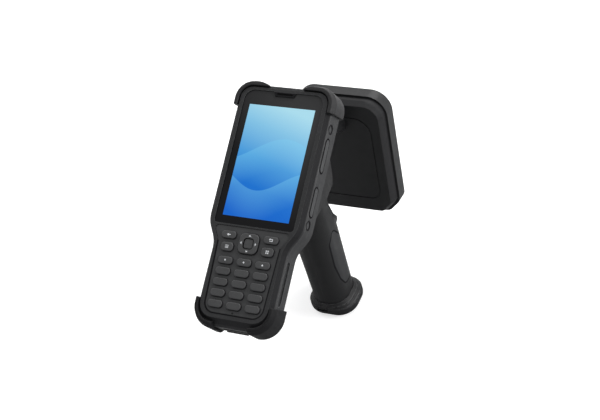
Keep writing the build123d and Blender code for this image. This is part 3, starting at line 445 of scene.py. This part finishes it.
def plate_seam(tree, axes):
    """Shade in the seam round the lower keypad plate, by the distance to its rounded outline."""
    rise = calc(tree, "SUBTRACT", (axes, "Y"), PLATE_FOOT)
    across = calc(tree, "MULTIPLY_ADD", rise, -PLATE_FLARE, calc(tree, "ABSOLUTE", (axes, "X")))
    out = calc(tree, "SUBTRACT", across, PLATE_HALF - PLATE_CORNER)
    down = calc(tree, "SUBTRACT", PLATE_CORNER, rise)
    corner = add_node(tree, "ShaderNodeCombineXYZ", _0=calc(tree, "MAXIMUM", out, 0.0),
                      _1=calc(tree, "MAXIMUM", down, 0.0))
    reach = vector_calc(tree, "LENGTH", (corner, 0))
    away = calc(tree, "ABSOLUTE", calc(tree, "SUBTRACT", reach, PLATE_CORNER))
    below_top = calc(tree, "LESS_THAN", (axes, "Y"), PLATE_SEAM_TOP)
    return product(tree, ramp(tree, away, *PLATE_SEAM_SHADE), below_top)


def shaded(material, mask, colour):
    """Paints shade over a material's own colour by a mask, in a dark colour, and dulls the surface there.
    """
    tree = material.node_tree
    shader = tree.nodes["Principled BSDF"]
    own_colour = (shader.inputs["Base Color"].links[0].from_node, 2)
    own_gloss = (shader.inputs["Roughness"].links[0].from_node, 0)
    dulled = calc(tree, "MAXIMUM", own_gloss, product(tree, mask, SHADE_ROUGHNESS))
    fill(tree, shader.inputs["Base Color"], mixed(tree, mask, own_colour, colour))
    fill(tree, shader.inputs["Roughness"], dulled)


# The pale edge colour is rubbed wear with a painted highlight along the rim's edges.
front_plastic = moulded("front_plastic", CHARCOAL, FRONT_WEAR_AND_HIGHLIGHT, roughness=0.50, pit_size=0.35,
                        pit_depth=0.05, edge_amount=1.1, edge_width=0.7)
tree = front_plastic.node_tree
axes = in_terminal(tree)
square = squareness(tree)
bevel = product(tree, ramp(tree, square, *BEVEL_FROM_FRONT), ramp(tree, square, *BEVEL_FROM_SIDE),
                between(tree, (axes, "Y"), *BEVEL_SPAN))
upper_bevel = product(tree, bevel, ramp(tree, (axes, "Z"), *BEVEL_LEVELS), BEVEL_SHADE)
dark = product(tree, between(tree, (axes, "X"), -FIELD_HALF, FIELD_HALF),
               between(tree, (axes, "Y"), *FIELD_SPAN), between(tree, (axes, "Z"), *FIELD_LEVELS))
both_walls = calc(tree, "GREATER_THAN", calc(tree, "ABSOLUTE", (axes, "X")), SIDE_WALL)
right_wall = calc(tree, "GREATER_THAN", (axes, "X"), SIDE_WALL)
for slots, walls in ((PAIRED_SLOTS, both_walls), (RIGHT_SLOTS, right_wall)):
    for slot in slots:
        dark = calc(tree, "MAXIMUM", dark, product(tree, slot_shade(tree, axes, *slot), walls))
pocket_shade = product(tree, between(tree, (axes, "Z"), *POCKET_LEVELS), calc(tree, "SUBTRACT", 1.0, bevel))
dark = calc(tree, "MAXIMUM", dark, pocket_shade)
near_front = calc(tree, "GREATER_THAN", (axes, "Z"), POCKET_LEVELS[0])
dark = calc(tree, "MAXIMUM", dark, product(tree, plate_seam(tree, axes), near_front))
# Painted shade on the upper bevel, then painted shade in the key grooves, the pockets and the seam round
# the plate, together with the black field round the earpiece.
shaded(front_plastic, upper_bevel, BEVEL_BLACK)
shaded(front_plastic, dark, SHADOW_BLACK)
dress(front_plastic, "front_housing")
softened(0.3, "front_housing")

# Earpiece: dark woven steel mesh over the speaker, heat-staked to the front housing in the slot at
# the top of the glass.
MESH_BLACK = (0.006, 0.006, 0.006, 1)
mesh_metal = metal("mesh_metal", MESH_BLACK, roughness=0.45, pit_size=0.18, pit_depth=0.05)
dress(mesh_metal, "earpiece_mesh")

# Touch glass and display: one pane of clear glass with a black printed border, bonded to the
# display, whose picture is a plain blue field with two soft waves. A painted sheen lightens the
# border towards its top right corner.
SCREEN_HALF_WIDTH = 25.92
SCREEN_HALF_LENGTH = 41.47
GLASS_FACE = -0.3
SCREEN_LIGHT = 0.92
PICTURE_LEAN = 0.0035
PICTURE_FOOT = (0.001, 0.13, 0.63, 1)
PICTURE_TOP = (0.40, 0.74, 0.88, 1)
PICTURE_STOPS = ((0.25, (0.004, 0.17, 0.66, 1)), (0.5, (0.06, 0.34, 0.75, 1)),
                 (0.78, (0.22, 0.56, 0.82, 1)))
WAVES = ((9.0, 9.5, 15.0, 0.9), (-13.0, 8.0, 12.0, -1.1))
WAVE_COLOUR = (0.20, 0.66, 0.95, 1)
WAVE_STRENGTH = 0.30
WAVE_EDGE = 0.5
WAVE_FADE = 24.0
BORDER_BLACK = (0.003, 0.003, 0.004, 1)
BORDER_PAINTED_SHEEN = (0.038, 0.038, 0.039, 1)
SHEEN_LEAN = 0.9
SHEEN_SPAN = (-20.0, 50.0)
GLASS_GLOSS = (0.08, 0.16)
BLACK = (0, 0, 0, 1)
FILM_BLACK = (0.02, 0.02, 0.024, 1)
FILM_WORN = (0.05, 0.05, 0.05, 1)


def screen_glass(name):
    """Glass with the lit picture in its middle and a black border round it."""
    material, tree, shader = new_material(name)
    axes = in_terminal(tree)
    lit = product(tree, calc(tree, "LESS_THAN", calc(tree, "ABSOLUTE", (axes, "X")), SCREEN_HALF_WIDTH),
                  calc(tree, "LESS_THAN", calc(tree, "ABSOLUTE", (axes, "Y")), SCREEN_HALF_LENGTH),
                  calc(tree, "GREATER_THAN", (axes, "Z"), GLASS_FACE))
    rise = ramp(tree, (axes, "Y"), -SCREEN_HALF_LENGTH, SCREEN_HALF_LENGTH)
    rise = calc(tree, "MULTIPLY_ADD", (axes, "X"), PICTURE_LEAN, rise)
    field = add_node(tree, "ShaderNodeValToRGB", Fac=rise)
    stops = field.color_ramp.elements
    stops[0].color = PICTURE_FOOT
    stops[1].color = PICTURE_TOP
    for share, colour in PICTURE_STOPS:
        stops.new(share).color = colour
    picture = (field, 0)
    for middle, swing, length, start in WAVES:
        crest = calc(tree, "SINE", calc(tree, "MULTIPLY_ADD", (axes, "X"), 1 / length, start))
        line = calc(tree, "MULTIPLY_ADD", crest, swing, middle)
        under = calc(tree, "SUBTRACT", line, (axes, "Y"))
        inside = ramp(tree, under, 0.0, WAVE_EDGE)
        fade = ramp(tree, under, 0.0, WAVE_FADE, WAVE_STRENGTH, 0.0)
        picture = mixed(tree, product(tree, inside, fade), picture, WAVE_COLOUR)
    fill(tree, shader.inputs["Emission Color"], mixed(tree, lit, BLACK, picture))
    shader.inputs["Emission Strength"].default_value = SCREEN_LIGHT
    # Painted sheen: the border's colour lightens towards its top right corner.
    corner = calc(tree, "MULTIPLY_ADD", (axes, "X"), SHEEN_LEAN, (axes, "Y"))
    border = mixed(tree, ramp(tree, corner, *SHEEN_SPAN), BORDER_BLACK, BORDER_PAINTED_SHEEN)
    fill(tree, shader.inputs["Base Color"], border)
    smears = effect(tree, grain, Size=4.0, Patch_Size=30.0)
    fill(tree, shader.inputs["Roughness"], ramp(tree, (smears, "Mottle"), *SMEAR_SPAN, *GLASS_GLOSS))
    shader.inputs["Specular IOR Level"].default_value = 0.12
    return material


dress(screen_glass("screen_glass"), "touch_glass")
softened(0.25, "touch_glass")
panel_film = moulded("panel_film", FILM_BLACK, FILM_WORN, roughness=0.3, pit_size=1.0, pit_depth=0.01)
dress(panel_film, "display_panel")

# Keypad plate: a black moulded insert with a hole for each key and a small microphone hole. It is
# let into the front housing. Shade is painted along its edges, round its key holes and in the seam
# round it.
PLATE_BLACK = (0.050, 0.0505, 0.052, 1)
# The dark edge colour is painted shade along the plate's outline and round its key holes.
plate_plastic = moulded("plate_plastic", PLATE_BLACK, SHADOW_BLACK, roughness=0.48, pit_size=0.25,
                        pit_depth=0.03, edge_amount=1.6, edge_width=0.7)
tree = plate_plastic.node_tree
shaded(plate_plastic, plate_seam(tree, in_terminal(tree)), SHADOW_BLACK)
dress(plate_plastic, "keypad_plate")
softened(0.15, "keypad_plate", segments=2)

# Keys: domed rubber caps with a satin coat, each sliding on its own dome; the soft keys and the
# function keys carry small white prints. Shade is painted on their side walls.
KEY_BLACK = (0.060, 0.0605, 0.062, 1)
KEY_WORN = (0.06, 0.061, 0.064, 1)
KEY_SIDE_SHADE = (0.80, 0.45)
KEY_TOP = 1.7
KEY_PITCH = 14.59
SOFT_KEYS = {"soft_key_1": (-16.5, -55.3), "soft_key_2": (16.5, -55.3),
             "soft_key_3": (-15.8, -63.9), "soft_key_4": (15.8, -63.9)}
FUNCTION_Y = -73.55
PRINT_SUNK = 0.02
PRINT_THICK = 0.03
PRINT_WHITE = (0.78, 0.80, 0.82, 1)
INK_PATCH = 0.85
LEFT_ARROW = [(-1.5, 0), (0, 0.95), (0, 0.28), (1.4, 0.28), (1.4, -0.28), (0, -0.28), (0, -0.95)]
RETURN_ARROW = [(-1.6, 0.6), (-0.5, 1.35), (-0.5, 0.85), (1.5, 0.85), (1.5, -0.9), (-0.9, -0.9),
                (-0.9, -0.45), (1.0, -0.45), (1.0, 0.4), (-0.5, 0.4), (-0.5, -0.1)]
MENU_BARS = (-0.85, 0.0, 0.85)
MENU_BAR_HALF = (1.3, 0.18)
WINDOW_CORNERS = (-1.15, 0.2)
WINDOW_SIDE = 0.95
DOT_RADIUS = 0.62
DOT_POINTS = 16
key_rubber = moulded("key_rubber", KEY_BLACK, KEY_WORN, roughness=0.44, pit_size=0.22, pit_depth=0.03,
                     specular=0.25, edge_width=0.35)
tree = key_rubber.node_tree
# Painted shade on the keys' side walls, which turn away from the front.
shaded(key_rubber, ramp(tree, squareness(tree), *KEY_SIDE_SHADE), SHADOW_BLACK)
dress(key_rubber, "ok_key", *[name for name in nodes if "_key_" in name and not name.startswith("side")])


def screen_ink(name, colour):
    """Screen-printed ink: slightly uneven and matt."""
    material, tree, shader = new_material(name)
    texture = effect(tree, grain, Size=0.3, Patch_Size=1.5)
    tint = mixed(tree, (texture, "Mottle"), times(colour, INK_PATCH), colour)
    fill(tree, shader.inputs["Base Color"], tint)
    shader.inputs["Roughness"].default_value = 0.6
    relief(tree, shader, (texture, "Height"), 0.01, strength=0.4)
    return material


def printed(name, body, centre, shapes):
    """Raised ink on a key: each shape is a closed outline of points about the key's middle."""
    work = bmesh.new()
    for outline in shapes:
        lower, upper = [
            [work.verts.new(TERMINAL @ Vector((centre[0] + x, centre[1] + y, level))) for x, y in outline]
            for level in (KEY_TOP - PRINT_SUNK, KEY_TOP + PRINT_THICK)]
        work.faces.new(lower[::-1])
        work.faces.new(upper)
        for index in range(len(outline)):
            after = (index + 1) % len(outline)
            work.faces.new((lower[index], lower[after], upper[after], upper[index]))
    finished(name, work, body, white_ink)


def oblong(left, foot, width, height):
    """The corners of an oblong, from the one at its lower left."""
    return [(left, foot), (left + width, foot), (left + width, foot + height), (left, foot + height)]


white_ink = screen_ink("white_ink", PRINT_WHITE)
printed("print_left", "soft_key_1", SOFT_KEYS["soft_key_1"], [LEFT_ARROW])
printed("print_return", "soft_key_2", SOFT_KEYS["soft_key_2"], [RETURN_ARROW])
bar_half, bar_rise = MENU_BAR_HALF
printed("print_menu", "soft_key_3", SOFT_KEYS["soft_key_3"],
        [oblong(-bar_half, y - bar_rise, 2 * bar_half, 2 * bar_rise) for y in MENU_BARS])
printed("print_windows", "soft_key_4", SOFT_KEYS["soft_key_4"],
        [oblong(x, y, WINDOW_SIDE, WINDOW_SIDE) for x in WINDOW_CORNERS for y in WINDOW_CORNERS])
turns = [2 * math.pi * point / DOT_POINTS for point in range(DOT_POINTS)]
dot = [(DOT_RADIUS * math.cos(turn), DOT_RADIUS * math.sin(turn)) for turn in turns]
for number in range(3):
    printed(f"print_dot_{number + 1}", f"function_key_{number + 1}",
            ((number - 1) * KEY_PITCH, FUNCTION_Y), [dot])

# Navigation ring and its actuator: a rounded square ring of coated rubber that rocks on a black
# seesaw, with four white arrows; the OK key sits lower in its middle. The trigger's switch is of
# the same black plastic as the seesaw.
SEESAW_BLACK = (0.008, 0.008, 0.009, 1)
SEESAW_WORN = (0.03, 0.03, 0.03, 1)
NAV_MIDDLE = (0, -59.9)
ARROW_OUT = 5.75
ARROW_HALF = 0.95
ARROW_TALL = 1.15
dress(key_rubber, "nav_ring")
actuator_black = moulded("actuator_black", SEESAW_BLACK, SEESAW_WORN, roughness=0.5, pit_size=0.3,
                         pit_depth=0.02)
dress(actuator_black, "nav_actuator", "trigger_switch")
arrow_foot = ARROW_OUT - ARROW_TALL / 2
arrow = [(-ARROW_HALF, arrow_foot), (ARROW_HALF, arrow_foot), (0, arrow_foot + ARROW_TALL)]
arrows = [arrow]
for _ in range(3):
    arrows.append([(-y, x) for x, y in arrows[-1]])
printed("print_arrows", "nav_ring", NAV_MIDDLE, arrows)

# Side keys and plugs: long rubber keys in the side walls, and round rubber plugs over the screws.
# Shade is painted on their rounded sides, where they fall away into the groove.
SIDE_KEY_BLACK = (0.040, 0.041, 0.043, 1)
SIDE_KEY_WORN = (0.06, 0.06, 0.062, 1)
SIDE_KEY_SIDE_SHADE = (0.80, 0.55)
side_rubber = moulded("side_rubber", SIDE_KEY_BLACK, SIDE_KEY_WORN, roughness=0.5, pit_size=0.3,
                      pit_depth=0.03)
tree = side_rubber.node_tree
# Painted shade where the rounded sides turn away from the wall's face.
outward = calc(tree, "ABSOLUTE", (facing_axes(tree), "X"))
shaded(side_rubber, ramp(tree, outward, *SIDE_KEY_SIDE_SHADE), SHADOW_BLACK)
dress(side_rubber, "side_key_upper", "side_key_lower", "side_key_left", "side_plugs")

# Bumpers: soft black rubber overmoulded on the four corners, with rolled edges. The lower pair is a
# darker, duller copy of the same rubber; its darker colour is painted shade.
BUMPER_BLACK = (0.016, 0.016, 0.017, 1)
BUMPER_WORN = (0.050, 0.050, 0.052, 1)
LOW_BUMPER_SHADE_BLACK = (0.013, 0.013, 0.014, 1)
LOW_BUMPER_WORN = (0.055, 0.055, 0.057, 1)
SKIN_VOXEL = 0.35
ROLL_SHARE = 0.5
ROLL_ROUNDS = 7
bumper_rubber = moulded("bumper_rubber", BUMPER_BLACK, BUMPER_WORN, roughness=0.52, pit_size=0.45,
                        pit_depth=0.06, edge_amount=0.7, edge_width=0.7)
# The lower pair's darker colour is painted shade, as they face down and away from the light.
shaded_low_bumper_rubber = moulded("shaded_low_bumper_rubber", LOW_BUMPER_SHADE_BLACK, LOW_BUMPER_WORN, roughness=0.62,
                            pit_size=0.45, pit_depth=0.06, specular=0.08, edge_width=0.7)


def remoulded(name, sources, body, material):
    """Copies CAD nodes into one soft form: the mesh is skinned again and its edges rolled off."""
    work = bmesh.new()
    for source in sources:
        work.from_mesh(nodes[source].data)
    mesh = bpy.data.meshes.new(name)
    work.to_mesh(mesh)
    work.free()
    piece = bpy.data.objects.new(name, mesh)
    bpy.context.scene.collection.objects.link(piece)
    skin = piece.modifiers.new("skin", "REMESH")
    skin.mode = "VOXEL"
    skin.voxel_size = SKIN_VOXEL * MM
    roll = piece.modifiers.new("roll", "SMOOTH")
    roll.factor = ROLL_SHARE
    roll.iterations = ROLL_ROUNDS
    graph = bpy.context.evaluated_depsgraph_get()
    rolled = bpy.data.meshes.new_from_object(piece.evaluated_get(graph))
    piece.modifiers.clear()
    piece.data = rolled
    rolled.shade_smooth()
    dress(material, piece)
    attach(piece, body)
    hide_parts(*sources)
    return piece


for name, rubber in (("top_bumpers", bumper_rubber), ("bottom_bumpers", shaded_low_bumper_rubber)):
    remoulded(name.replace("bumpers", "guards"), [name], "body", rubber)

# Cradle: the moulded head that the terminal clips to, at the top of the grip. It is of the same
# charcoal plastic as the grip.
GUN_BLACK = (0.0120, 0.0122, 0.0130, 1)
GUN_WORN = (0.045, 0.046, 0.048, 1)
gun_plastic = moulded("gun_plastic", GUN_BLACK, GUN_WORN, roughness=0.50, pit_size=0.4, pit_depth=0.06,
                      specular=0.15)
dress(gun_plastic, "cradle")
softened(0.8, "cradle", segments=4)

# Grip: two moulded halves screwed together from the left, with a softer rubber strap let into
# their front edge. The strap's outline is given along the grip's depth and height.
STRAP_BLACK = (0.024, 0.0245, 0.026, 1)
STRAP_OUTLINE = ((10.0, 64.0), (-2.0, 82.5), (-4.5, 84.0), (-7.0, 83.5), (-11.5, 77.0), (-12.0, 75.0),
                 (-12.0, 53.0), (-9.6, 36.8), (-6.8, 30.4), (-5.2, 28.0), (-2.8, 26.8), (6.0, 26.5))
STRAP_SEAM_HALF = 0.45
STRAP_SEAM_FADE = 1.0


def strap_seam(tree):
    """Shade in the seam round the strap: the distance, seen from the side, to the strap's outline."""
    where = add_node(tree, "ShaderNodeTexCoord")
    here = vector_calc(tree, "MULTIPLY", (where, "Object"), (0.0, 1 / MM, 1 / MM))
    least = add_node(tree, "ShaderNodeValue")
    least.outputs[0].default_value = STRAP_SEAM_FADE
    nearest = (least, 0)
    for (y0, z0), (y1, z1) in zip(STRAP_OUTLINE, STRAP_OUTLINE[1:]):
        run = Vector((0, y1 - y0, z1 - z0))
        past = vector_calc(tree, "SUBTRACT", here, (0, y0, z0))
        share = vector_calc(tree, "DOT_PRODUCT", past, run / run.length_squared)
        held = add_node(tree, "ShaderNodeClamp", _0=share)
        foot = vector_calc(tree, "SCALE", run, Scale=(held, 0))
        nearest = calc(tree, "MINIMUM", nearest, vector_calc(tree, "DISTANCE", past, foot))
    return ramp(tree, nearest, STRAP_SEAM_FADE, STRAP_SEAM_HALF)


grip_plastic = moulded("grip_plastic", GUN_BLACK, GUN_WORN, roughness=0.50, pit_size=0.4, pit_depth=0.06,
                       specular=0.15)
strap_rubber = moulded("strap_rubber", STRAP_BLACK, GUN_WORN, roughness=0.55, pit_size=0.6, pit_depth=0.09,
                       specular=0.15)
for material in (grip_plastic, strap_rubber):
    shaded(material, strap_seam(material.node_tree), SHADOW_BLACK)
dress(grip_plastic, "grip_left", "grip_right")
dress(strap_rubber, "grip_strap")
softened(0.35, "grip_left", "grip_right")
softened(0.25, "grip_strap")

# Boot: rubber foot pushed over the grip's end, with two grooves round its collar and a slot for
# a wrist strap. Its edges and the ridges of its collar carry rubbed wear with a painted highlight.
BOOT_BLACK = (0.010, 0.010, 0.011, 1)
BOOT_WEAR_AND_HIGHLIGHT = (0.085, 0.085, 0.087, 1)
# The pale edge colour is rubbed wear with a painted highlight along the edges and collar ridges.
boot_rubber = moulded("boot_rubber", BOOT_BLACK, BOOT_WEAR_AND_HIGHLIGHT, roughness=0.5, pit_size=0.5, pit_depth=0.07,
                      edge_amount=1.4, edge_width=0.8)
dress(boot_rubber, "grip_boot")
softened(0.5, "grip_boot")

# Trigger with its pin and spring: a satin black moulded lever that turns on a steel pin, with a
# wire spring beside it.
TRIGGER_BLACK = (0.009, 0.009, 0.010, 1)
TRIGGER_WORN = (0.04, 0.04, 0.042, 1)
STEEL_GREY = (0.45, 0.45, 0.46, 1)
trigger_black = moulded("trigger_black", TRIGGER_BLACK, TRIGGER_WORN, roughness=0.4, pit_size=0.25,
                        pit_depth=0.03)
dress(trigger_black, "trigger")
softened(1.2, "trigger", segments=4)
ground_steel = metal("ground_steel", STEEL_GREY, roughness=0.25, pit_size=0.15, pit_depth=0.01)
dress(ground_steel, "trigger_pin", "trigger_spring")

# Antenna: front and rear covers of charcoal plastic round a reader board and an etched patch, on
# an arm from the head of the grip. Shade is painted on the rear cover's sloped edge.
RADOME_BLACK = (0.021, 0.0214, 0.0224, 1)
REAR_BLACK = (0.027, 0.0275, 0.0285, 1)
ANTENNA_WORN = (0.050, 0.051, 0.053, 1)
BRASS_YELLOW = (0.62, 0.42, 0.18, 1)
SLOPE_FACING = (-0.93, -0.80)
SLOPE_SHADE = 0.7
antenna_plastic = moulded("antenna_plastic", RADOME_BLACK, ANTENNA_WORN, roughness=0.5, pit_size=0.4,
                          pit_depth=0.05, specular=0.15)
dress(antenna_plastic, "antenna_radome")
softened(0.8, "antenna_radome", segments=4)
rear_plastic = moulded("rear_plastic", REAR_BLACK, ANTENNA_WORN, roughness=0.5, pit_size=0.4,
                       pit_depth=0.05, specular=0.15)
tree = rear_plastic.node_tree
# Painted shade on the sloped edge, which faces away from the light.
slope = product(tree, ramp(tree, (facing_axes(tree), "Y"), *SLOPE_FACING), SLOPE_SHADE)
shaded(rear_plastic, slope, BEVEL_BLACK)
dress(rear_plastic, "antenna_rear_cover")
softened(0.5, "antenna_rear_cover")
etched_brass = metal("etched_brass", BRASS_YELLOW, roughness=0.3, pit_size=0.3, pit_depth=0.01)
dress(etched_brass, "patch_antenna")
dress(gun_plastic, "antenna_arm")
softened(0.8, "antenna_arm", segments=4)

# Screws: blackened steel pan head screws. They hold the back of the terminal, the halves of the
# grip, the arm and the covers of the antenna.
SCREW_BLACK = (0.06, 0.06, 0.063, 1)
blackened_steel = metal("blackened_steel", SCREW_BLACK, roughness=0.4, pit_size=0.2, pit_depth=0.02)
dress(blackened_steel, "screws")
softened(0.12, "screws", segments=2)

# Studio: a pale floor that keeps the shadow, a white surround that lights most from behind and
# above, and three soft lamps.
FLOOR_HALF = 3.0
FLOOR_GREY = (0.55, 0.55, 0.55, 1)
FLOOR_GLOW = (0.66, 0.66, 0.66, 1)
WHITE = (1, 1, 1, 1)
BRIGHT_SIDE = (0.25, 0.75, 0.6)
ROOM_SPAN = (-0.8, 1.0)
ROOM_DARK = (0.27, 0.274, 0.282, 1)
ROOM_BRIGHT = (0.62, 0.625, 0.635, 1)
LAMP_TARGET = Vector((0, 0, 0.12))
floor_mesh = bpy.data.meshes.new("floor")
floor_corners = [(-FLOOR_HALF, -FLOOR_HALF, 0), (FLOOR_HALF, -FLOOR_HALF, 0),
                 (FLOOR_HALF, FLOOR_HALF, 0), (-FLOOR_HALF, FLOOR_HALF, 0)]
floor_mesh.from_pydata(floor_corners, [], [(0, 1, 2, 3)])
floor = bpy.data.objects.new("floor", floor_mesh)
bpy.context.scene.collection.objects.link(floor)
floor_paint, tree, paint = new_material("floor_paint")
paint.inputs["Base Color"].default_value = FLOOR_GREY
paint.inputs["Roughness"].default_value = 0.9
paint.inputs["Specular IOR Level"].default_value = 0.0
path = add_node(tree, "ShaderNodeLightPath")
fill(tree, paint.inputs["Emission Color"], mixed(tree, (path, "Is Camera Ray"), BLACK, FLOOR_GLOW))
paint.inputs["Emission Strength"].default_value = 1.0
floor.data.materials.append(floor_paint)

world = bpy.data.worlds.new("studio")
bpy.context.scene.world = world
world.use_nodes = True
tree = world.node_tree
path = add_node(tree, "ShaderNodeLightPath")
seen = calc(tree, "MAXIMUM", (path, "Is Camera Ray"), (path, "Is Glossy Ray"))
seen = calc(tree, "MAXIMUM", seen, (path, "Is Transmission Ray"))
way = add_node(tree, "ShaderNodeTexCoord")
brightness = vector_calc(tree, "DOT_PRODUCT", (way, "Generated"), BRIGHT_SIDE)
room = mixed(tree, ramp(tree, brightness, *ROOM_SPAN), ROOM_DARK, ROOM_BRIGHT)
fill(tree, tree.nodes["Background"].inputs["Color"], mixed(tree, seen, room, WHITE))


def soft_lamp(name, place, size, watts):
    """A round soft lamp that points at the grip."""
    lamp = bpy.data.lights.new(name, "AREA")
    lamp.shape = "DISK"
    lamp.size = size
    lamp.energy = watts
    holder = bpy.data.objects.new(name, lamp)
    bpy.context.scene.collection.objects.link(holder)
    holder.location = place
    holder.rotation_euler = (LAMP_TARGET - Vector(place)).to_track_quat("-Z", "Y").to_euler()


soft_lamp("window_lamp", (1.25, 0.25, 0.6), size=0.8, watts=17)
soft_lamp("side_lamp", (-1.2, 0.35, 0.9), size=0.8, watts=5)
soft_lamp("back_lamp", (0.1, 1.1, 1.1), size=0.7, watts=20)

# Camera: where the photograph was taken from, looking down over the keypad at the grip's head. Its
# place and lens were solved from the corners of the screen and the key grid.
CAMERA_PLACE = Vector((467.93, -691.15, 848.67)) * MM
CAMERA_LOOK = Vector((-0.42414, 0.61331, -0.66631))
CAMERA_ROLL = math.radians(-17.02)
CAMERA_LENS = 89.5
SENSOR_WIDTH = 36.0
lens = bpy.data.cameras.new("camera")
lens.lens = CAMERA_LENS
lens.sensor_width = SENSOR_WIDTH
camera = bpy.data.objects.new("camera", lens)
bpy.context.scene.collection.objects.link(camera)
camera.location = CAMERA_PLACE
level = CAMERA_LOOK.to_track_quat("-Z", "Y")
camera.rotation_mode = "QUATERNION"
camera.rotation_quaternion = level @ Matrix.Rotation(CAMERA_ROLL, 3, "Z").to_quaternion()
bpy.context.scene.camera = camera
bpy.context.scene.view_settings.view_transform = "Standard"
